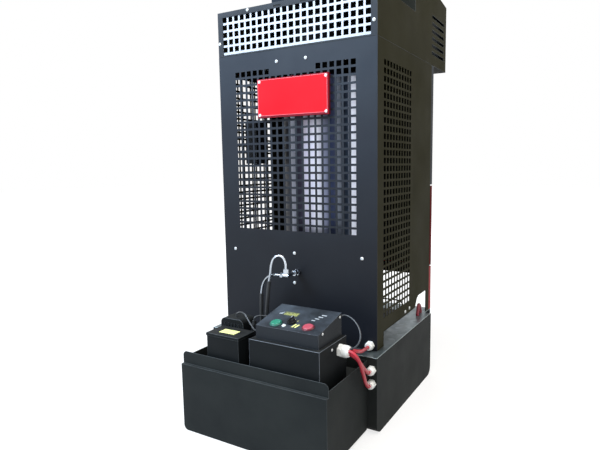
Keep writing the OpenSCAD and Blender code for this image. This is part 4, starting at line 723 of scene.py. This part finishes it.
def pan_head(bm, at, outward, turn, size):
    """A pan-headed screw on a face: a turned head with its cross recess drawn as a dark painted shadow."""
    facing = Vector(outward).to_track_quat("Z", "Y").to_matrix().to_4x4()
    frame_matrix = Matrix.Translation(Vector(at) * MM) @ facing @ Matrix.Scale(size, 4)
    verts = [bm.verts.new((r * MM, 0, h * MM)) for r, h in SCREW_PROFILE]
    edges = [bm.edges.new(pair) for pair in zip(verts, verts[1:])]
    made = bmesh.ops.spin(bm, geom=verts + edges, cent=(0, 0, 0), axis=(0, 0, 1), angle=math.tau,
                          steps=HEAD_STEPS, use_merge=True)
    head = set()
    todo = list({g for g in made["geom_last"] if isinstance(g, bmesh.types.BMVert)} | set(verts))
    while todo:
        v = todo.pop()
        if v.is_valid and v not in head:
            head.add(v)
            todo += [e.other_vert(v) for e in v.link_edges]
    top = [v for v in head if v.co.z > SCREW_PROFILE[-1][1] * MM - ON_LEVEL]
    bm.faces.new(sorted(top, key=lambda v: math.atan2(v.co.y, v.co.x)))
    bottom = [v for v in head if v.co.z < ON_LEVEL]
    bm.faces.new(sorted(bottom, key=lambda v: -math.atan2(v.co.y, v.co.x)))
    fresh = list(head)
    for angle in (0, math.pi / 2):
        arm = bmesh.ops.create_grid(bm, x_segments=1, y_segments=1, size=0.5)["verts"]
        bmesh.ops.scale(bm, verts=arm, vec=(CROSS_LENGTH * MM, CROSS_WIDTH * MM, 1))
        bmesh.ops.rotate(bm, verts=arm, cent=(0, 0, 0), matrix=Matrix.Rotation(angle + turn, 3, "Z"))
        bmesh.ops.translate(bm, verts=arm, vec=(0, 0, (CROSS_LIFT + angle * SECOND_LIFT) * MM))
        for face in {f for v in arm for f in v.link_faces}:
            face.material_index = 1
        fresh += arm
    bmesh.ops.transform(bm, matrix=frame_matrix, verts=fresh)


SERVICE_SIDE, RIGHT_SIDE, LEFT_SIDE = (0, -1, 0), (1, 0, 0), (-1, 0, 0)
REAR_Y, HALF_WIDTH = -172, 250.5
BOX_SCREW, TURN_EACH = 0.72, 0.7
screw_places = [((x, REAR_Y, z), SERVICE_SIDE, 1.0) for x, z in (
    (-48, 968), (45, 968), (-142, 1116), (-244.5, 1036), (241.5, 1036), (-211, 442), (-1, 444), (208, 446),
    (-2, 360))]
for x, side in ((HALF_WIDTH, RIGHT_SIDE), (-HALF_WIDTH, LEFT_SIDE)):
    screw_places += [((x, y, z), side, 1.0) for y, z in ((67, 258), (32, 256))]
screw_places += [(place, RIGHT_SIDE, BOX_SCREW) for place in (
    (213.5, -346, 261), (203.5, -371.5, 305), (203.5, -287.5, 322))]
screws = bmesh.new()
for count, (place, side, size) in enumerate(screw_places):
    pan_head(screws, place, side, TURN_EACH * count, size)
screw_piece = put_in_scene("pan_head_screws", screws, [MATERIALS["screw_white"], RECESS])
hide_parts("casing_screws")
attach(screw_piece, "root")


# Folded rim of the plate, with a painted shade border and a painted highlight line on its face

PLATE_CENTRE, PLATE_SIZE, PLATE_FRONT_Y, PLATE_BACK_Y = (7.5, 870.2), (225.0, 104.0), -185.5, -184.0


def plate_ring(name, outer, inner, front_y, depth, material):
    """A ring in front of or behind the plate; outer and inner are its (left, low, right, high) margins."""
    bm = bmesh.new()
    loops = []
    for left, low, right, high in (outer, inner):
        x0, x1 = PLATE_CENTRE[0] - PLATE_SIZE[0] / 2 + left, PLATE_CENTRE[0] + PLATE_SIZE[0] / 2 - right
        z0, z1 = PLATE_CENTRE[1] - PLATE_SIZE[1] / 2 + low, PLATE_CENTRE[1] + PLATE_SIZE[1] / 2 - high
        corners = ((x0, z0), (x1, z0), (x1, z1), (x0, z1))
        loops.append([bm.verts.new((x * MM, front_y * MM, z * MM)) for x, z in corners])
    outside, inside = loops
    flat = [bm.faces.new((outside[i], outside[(i + 1) % 4], inside[(i + 1) % 4], inside[i]))
            for i in range(4)]
    deep = bmesh.ops.extrude_face_region(bm, geom=flat, use_keep_orig=True)
    bmesh.ops.translate(bm, verts=[g for g in deep["geom"] if isinstance(g, bmesh.types.BMVert)],
                        vec=(0, depth * MM, 0))
    piece = put_in_scene(name, bm, [material])
    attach(piece, "root")
    return piece


# The rim and the border, widest at the bottom, are painted shade; the line inside the border is a painted
# highlight.
BORDER, LINE_WIDTH = (1.6, 5.2, 3.2, 2.0), 1.1
LINE = tuple(width + LINE_WIDTH for width in BORDER)
RIM_SHEET, RIM_DEPTH, BORDER_THICKNESS, LINE_THICKNESS = 1.4, 8.5, 0.3, 0.25
plate_ring("plate_folded_rim", (0,) * 4, (RIM_SHEET,) * 4, PLATE_BACK_Y, RIM_DEPTH, RIM_RED)
plate_ring("plate_painted_shade_border", (BORDER_THICKNESS,) * 4, BORDER, PLATE_FRONT_Y - BORDER_THICKNESS,
           BORDER_THICKNESS, RIM_RED)
plate_ring("plate_painted_highlight_line", BORDER, LINE, PLATE_FRONT_Y - LINE_THICKNESS, LINE_THICKNESS, PLATE_HIGHLIGHT_LINE)


# Folded strips of the cabinet

def folded_strip(name, outline, left, right, material):
    """A folded strip that runs across the cabinet: its section's outline in y and z, and its two ends."""
    bm = bmesh.new()
    verts = [bm.verts.new((left * MM, y * MM, z * MM)) for y, z in outline]
    face = bm.faces.new(verts)
    grown = bmesh.ops.extrude_face_region(bm, geom=[face], use_keep_orig=True)
    bmesh.ops.translate(bm, verts=[g for g in grown["geom"] if isinstance(g, bmesh.types.BMVert)],
                        vec=((right - left) * MM, 0, 0))
    piece = put_in_scene(name, bm, [material])
    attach(piece, "root")
    return piece


def angle_outline(back_y, low, high, leg, sheet):
    """The outline of an angle: an upright leg with a foot that points into the cabinet."""
    return [(back_y, low), (back_y, high), (back_y - sheet, high), (back_y - sheet, low + sheet),
            (back_y - leg, low + sheet), (back_y - leg, low)]


INNER_HALF, ANGLE_Y, ANGLE_SHEET = 246.0, 250.2, 1.5
for name, low, high, leg in (("door_sill_angle", 326, 357, 14), ("door_head_angle", 606, 634, 12)):
    outline = angle_outline(ANGLE_Y, low, high, leg, ANGLE_SHEET)
    folded_strip(name, outline, -INNER_HALF, INNER_HALF, INSIDE_BLACK)

ROD_Y, ROD_RADIUS = 244, 2.4
rod_route = [(x, ROD_Y, z) for x, z in (
    (-INNER_HALF, 222), (-80, 222), (60, 223), (120, 225), (148, 224), (160, 216), (162, 208), (162, 204.1))]
stay_rod = bmesh.new()
sweep(stay_rod, rod_route, ROD_RADIUS, 12, 3)
rod_piece = put_in_scene("low_stay_rod", stay_rod, [INSIDE_BLACK])
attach(rod_piece, "root")
# A thin black sheet on the deck inside the cabinet: painted shade on the cabinet's floor.
FLOOR_SHADE_LOW, FLOOR_SHADE_HIGH, FLOOR_SHADE_BACK, FLOOR_SHADE_FRONT, FLOOR_SHADE_RIGHT = 204.05, 204.65, -168, 198, 205
folded_strip("cabinet_floor_painted_shade", [(FLOOR_SHADE_BACK, FLOOR_SHADE_LOW), (FLOOR_SHADE_FRONT, FLOOR_SHADE_LOW), (FLOOR_SHADE_FRONT, FLOOR_SHADE_HIGH),
                                   (FLOOR_SHADE_BACK, FLOOR_SHADE_HIGH)], -INNER_HALF, FLOOR_SHADE_RIGHT, INSIDE_BLACK)

WINDOW_HALF, WINDOW_TOP, WINDOW_LOW = 237.7, 1110.2, 1004.0
FIRST_HOLE_TOP, FIRST_HOLE_SIDE = 1107.2, 232.8
TRIM_FACE, SHADE_FACE, TRIM_BACK, TRIM_LAP = REAR_Y + 0.1, REAR_Y + 0.9, REAR_Y + 1.4, 0.2
NOTCH_MIDDLE, NOTCH_HALF, NOTCH_TOP = 43, 11.9, 1114.9


def window_trim(name, face_y, low, high, left, right, material):
    """A flat strip that closes the gap between the grille's holes and the edge of the casing's window."""
    outline = [(face_y, low), (face_y, high), (TRIM_BACK, high), (TRIM_BACK, low)]
    folded_strip(name, outline, left, right, material)


window_trim("window_top_trim", TRIM_FACE, FIRST_HOLE_TOP, WINDOW_TOP + TRIM_LAP, -WINDOW_HALF, WINDOW_HALF,
            BLACK_PAINT)
for name, near, far in (("window_left_trim", -WINDOW_HALF, -FIRST_HOLE_SIDE),
                        ("window_right_trim", FIRST_HOLE_SIDE, WINDOW_HALF)):
    window_trim(name, TRIM_FACE, WINDOW_LOW, FIRST_HOLE_TOP, near, far, BLACK_PAINT)
# Black strips inside the casing's two notches above the window: painted shade.
for name, middle in (("window_notch_left", -NOTCH_MIDDLE), ("window_notch_right", NOTCH_MIDDLE)):
    window_trim(name, SHADE_FACE, WINDOW_TOP, NOTCH_TOP, middle - NOTCH_HALF, middle + NOTCH_HALF,
                INSIDE_BLACK)


# Labels and printed marks

def thin_plate(bm, matrix, corners, thickness, material=0):
    """A thin plate over corner points of a flat face, thickened along the face's own up, added to a bmesh."""
    verts = [bm.verts.new((x * MM, y * MM, 0)) for x, y in corners]
    face = bm.faces.new(verts)
    face.material_index = material
    grown = bmesh.ops.extrude_face_region(bm, geom=[face], use_keep_orig=True)
    moved = [g for g in grown["geom"] if isinstance(g, bmesh.types.BMVert)]
    bmesh.ops.translate(bm, verts=moved, vec=(0, 0, thickness * MM))
    bmesh.ops.transform(bm, matrix=matrix, verts=verts + moved)


def bar(x0, y0, x1, y1):
    """The corners of an upright rectangle."""
    return [(x0, y0), (x1, y0), (x1, y1), (x0, y1)]


PRINT_THICKNESS, LABEL_THICKNESS, POINTER_THICKNESS = 0.12, 0.4, 0.15
PUMP_TOP = Matrix.Translation((0, 0, 269.0 * MM))
label_bm = bmesh.new()
thin_plate(label_bm, PUMP_TOP, bar(-92, -388, -44, -362), LABEL_THICKNESS)
pump_label = put_in_scene("pump_label", label_bm, [YELLOW_LABEL])
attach(pump_label, "root")

BOX_FRONT_Y, BOX_LOW_Z, BOX_RISE, BOX_DEPTH = -390.5, 307.0, 24, 111
BOX_TILT = math.atan2(BOX_RISE, BOX_DEPTH)
BOX_TOP = (Matrix.Translation((0, BOX_FRONT_Y * MM, BOX_LOW_Z * MM)) @ Matrix.Rotation(BOX_TILT, 4, "X"))

TICK_HALF, TICK_REACH = 0.9, (14, 18)
SCALE_LEFT, SCALE_PITCH, SCALE_FOOT, SCALE_BAR = 67, 4.8, 65, 2.4
SLANT_LOW, SLANT_HIGH = 16, 31
marks = bmesh.new()
thin_plate(marks, BOX_TOP, bar(66, 63, 106, 80), PRINT_THICKNESS / 2, 1)
for step, height in enumerate((5, 9, 6, 11, 8, 12, 9, 13)):
    left = SCALE_LEFT + step * SCALE_PITCH
    thin_plate(marks, BOX_TOP, bar(left, SCALE_FOOT, left + SCALE_BAR, SCALE_FOOT + height), PRINT_THICKNESS)
for angle in (45, 90, 135):
    ray = Vector((math.cos(math.radians(angle)), math.sin(math.radians(angle))))
    side = Vector((-ray.y, ray.x)) * TICK_HALF
    near, far = (Vector((KNOB_X, KNOB_UP)) + ray * reach for reach in TICK_REACH)
    thin_plate(marks, BOX_TOP, [near - side, far - side, far + side, near + side][::-1], PRINT_THICKNESS, 2)
for left in (119, 127.5):
    slanted = [(left, SLANT_LOW), (left + 4.4, SLANT_LOW), (left + 8.4, SLANT_HIGH), (left + 4, SLANT_HIGH)]
    thin_plate(marks, BOX_TOP, slanted, PRINT_THICKNESS, 2)
yellow_marks = put_in_scene("yellow_scale_marks", marks, [YELLOW_PRINT, OLIVE_PRINT, BRIGHT_PRINT])
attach(yellow_marks, "root")

LEVEL_LEFT, LEVEL_ACROSS, LEVEL_LOW, LEVEL_UP = 151, 4.2, 57, 9.6
LEVEL_LENGTH, LEVEL_GROWTH, LEVEL_HEIGHT = 10, 1.2, 3.4
SMALL_LEFT, SMALL_RIGHT, SMALL_PITCH = 53, 55, 3.8
marks = bmesh.new()
for step in range(4):
    left, low = LEVEL_LEFT + step * LEVEL_ACROSS, LEVEL_LOW + step * LEVEL_UP
    thin_plate(marks, BOX_TOP, bar(left, low, left + LEVEL_LENGTH + step * LEVEL_GROWTH, low + LEVEL_HEIGHT),
               PRINT_THICKNESS)
for step, height in enumerate((5, 8, 11)):
    left, right = SMALL_LEFT + step * SMALL_PITCH, SMALL_RIGHT + step * SMALL_PITCH
    thin_plate(marks, BOX_TOP, bar(left, SCALE_FOOT, right, SCALE_FOOT + height), PRINT_THICKNESS)
pale_marks = put_in_scene("pale_level_marks", marks, [PALE_PRINT])
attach(pale_marks, "root")

KNOB_HEIGHT = 14.0
KNOB_TOP = BOX_TOP @ Matrix.Translation((KNOB_X * MM, KNOB_UP * MM, KNOB_HEIGHT * MM))
pointer_bm = bmesh.new()
thin_plate(pointer_bm, KNOB_TOP, bar(-0.8, 1, 0.8, 10), POINTER_THICKNESS)
pointer = put_in_scene("knob_pointer", pointer_bm, [PALE_PRINT])
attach(pointer, "knob")


# Stage, light and camera

def seen_directly(tree):
    """One for rays from the camera or from a mirror or glass, nothing for the rays that light the object."""
    path = add_node(tree, "ShaderNodeLightPath")
    total = path.outputs["Is Camera Ray"]
    for label in ("Is Glossy Ray", "Is Transmission Ray"):
        add = add_node(tree, "ShaderNodeMath", operation="ADD", use_clamp=True)
        tree.links.new(total, add.inputs[0])
        tree.links.new(path.outputs[label], add.inputs[1])
        total = add.outputs[0]
    return total


FLOOR_COLOUR, FLOOR_HALF = "#959595", 14
NEAR_LIFT, FAR_LIFT, FADE_FROM, FADE_TO = 0.74, 1.0, 0.5, 2.2


def floor_material(name):
    """A white floor that keeps the object's soft shadow and fades into the white backdrop further out."""
    material, tree, shader = new_material(name)
    shader.inputs["Base Color"].default_value = linear(FLOOR_COLOUR)
    shader.inputs["Roughness"].default_value = 0.9
    shader.inputs["Specular IOR Level"].default_value = 0.1
    shader.inputs["Emission Color"].default_value = (1, 1, 1, 1)
    distance = add_node(tree, "ShaderNodeVectorMath", operation="LENGTH")
    limits = {"From Min": FADE_FROM, "From Max": FADE_TO, "To Min": NEAR_LIFT, "To Max": FAR_LIFT}
    fade = add_node(tree, "ShaderNodeMapRange", limits, interpolation_type="SMOOTHSTEP")
    scaled = add_node(tree, "ShaderNodeMath", operation="MULTIPLY")
    tree.links.new(object_place(tree), distance.inputs[0])
    tree.links.new(distance.outputs["Value"], fade.inputs["Value"])
    tree.links.new(fade.outputs["Result"], scaled.inputs[1])
    tree.links.new(seen_directly(tree), scaled.inputs[0])
    tree.links.new(scaled.outputs[0], shader.inputs["Emission Strength"])
    return material


floor_mesh = bmesh.new()
bmesh.ops.create_grid(floor_mesh, x_segments=1, y_segments=1, size=FLOOR_HALF)
floor = put_in_scene("studio_floor", floor_mesh, [floor_material("studio_floor_white")])
floor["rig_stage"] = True

SKY_COLOUR, SKY_LEVEL = (0.88, 0.93, 1.0, 1), 0.16
world = bpy.data.worlds.new("studio")
bpy.context.scene.world = world
world.use_nodes = True
sky = world.node_tree
background = sky.nodes["Background"]
background.inputs["Color"].default_value = SKY_COLOUR
background.inputs["Strength"].default_value = SKY_LEVEL
plain = add_node(sky, "ShaderNodeBackground", {"Color": (1, 1, 1, 1), "Strength": 1.0})
choose = add_node(sky, "ShaderNodeMixShader")
sky.links.new(seen_directly(sky), choose.inputs[0])
sky.links.new(background.outputs[0], choose.inputs[1])
sky.links.new(plain.outputs[0], choose.inputs[2])
sky.links.new(choose.outputs[0], sky.nodes["World Output"].inputs["Surface"])


def softbox(name, place, target, size, power, colour, mirrored=True, lights=True):
    """A large soft lamp that looks at a point; it can be left out of mirror images, or serve them alone."""
    lamp = bpy.data.lights.new(name, "AREA")
    lamp.shape = "RECTANGLE"
    lamp.size, lamp.size_y = size
    lamp.energy = power
    lamp.color = colour
    holder = bpy.data.objects.new(name, lamp)
    bpy.context.scene.collection.objects.link(holder)
    holder.visible_glossy = mirrored
    holder.visible_diffuse = lights
    holder.location = place
    holder.rotation_euler = (Vector(target) - Vector(place)).to_track_quat("-Z", "Y").to_euler()


DAYLIGHT, PLAIN_WHITE = (0.69, 0.84, 1.0), (1.0, 0.98, 0.95)
WARM_WHITE, LOW_SUN = (1.0, 0.95, 0.86), (1.0, 0.9, 0.66)
softbox("window_left", (-1.45, -2.2, 2.6), (0, 0, 1.2), (1.6, 1.4), 200, DAYLIGHT)
softbox("camera_side", (2.3, -2.7, 1.1), (0, -0.2, 0.5), (1.8, 1.6), 40, WARM_WHITE, mirrored=False)
softbox("overhead", (0.4, -0.6, 3.4), (0, 0, 0.5), (2.4, 2.4), 95, PLAIN_WHITE)
softbox("side_right", (2.2, 0.5, 2.4), (0.25, 0.1, 1.2), (1.2, 1.2), 17, LOW_SUN)
softbox("outlet_side", (-1.6, 3.4, 1.7), (0, 0.2, 0.7), (1.8, 1.8), 45, PLAIN_WHITE, mirrored=False)
softbox("low_window", (-0.6, -2.95, 0.78), (0, 0, 0.7), (1.1, 1.3), 11, (0.94, 0.95, 1.0), lights=False)
softbox("right_doorway", (2.7, -0.75, 0.8), (0.1, 0, 0.7), (1.0, 1.4), 12, (0.92, 0.97, 1.0), lights=False)

# The camera's place and lens were worked out from the photograph.
AZIMUTH, PITCH, ROLL = math.radians(28.662), math.radians(6.788), math.radians(-0.478)
CAMERA_PLACE, LENS, SENSOR, SHIFT = (0.7528, -1.3079, 0.6867), 29.594, 36, (-0.0601, -0.0015)
ahead = Vector((-math.sin(AZIMUTH) * math.cos(PITCH), math.cos(AZIMUTH) * math.cos(PITCH), -math.sin(PITCH)))
right = Vector((math.cos(AZIMUTH), math.sin(AZIMUTH), 0))
down = ahead.cross(right)
right_rolled = right * math.cos(ROLL) - down * math.sin(ROLL)
down_rolled = right * math.sin(ROLL) + down * math.cos(ROLL)
camera_data = bpy.data.cameras.new("photo_view")
camera_data.sensor_width = SENSOR
camera_data.lens = LENS
camera_data.shift_x, camera_data.shift_y = SHIFT
camera = bpy.data.objects.new("photo_view", camera_data)
bpy.context.scene.collection.objects.link(camera)
turn = Matrix((right_rolled, -down_rolled, -ahead)).transposed()
camera.matrix_world = Matrix.Translation(CAMERA_PLACE) @ turn.to_4x4()
bpy.context.scene.camera = camera
bpy.context.scene.view_settings.view_transform = "Standard"

low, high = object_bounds()
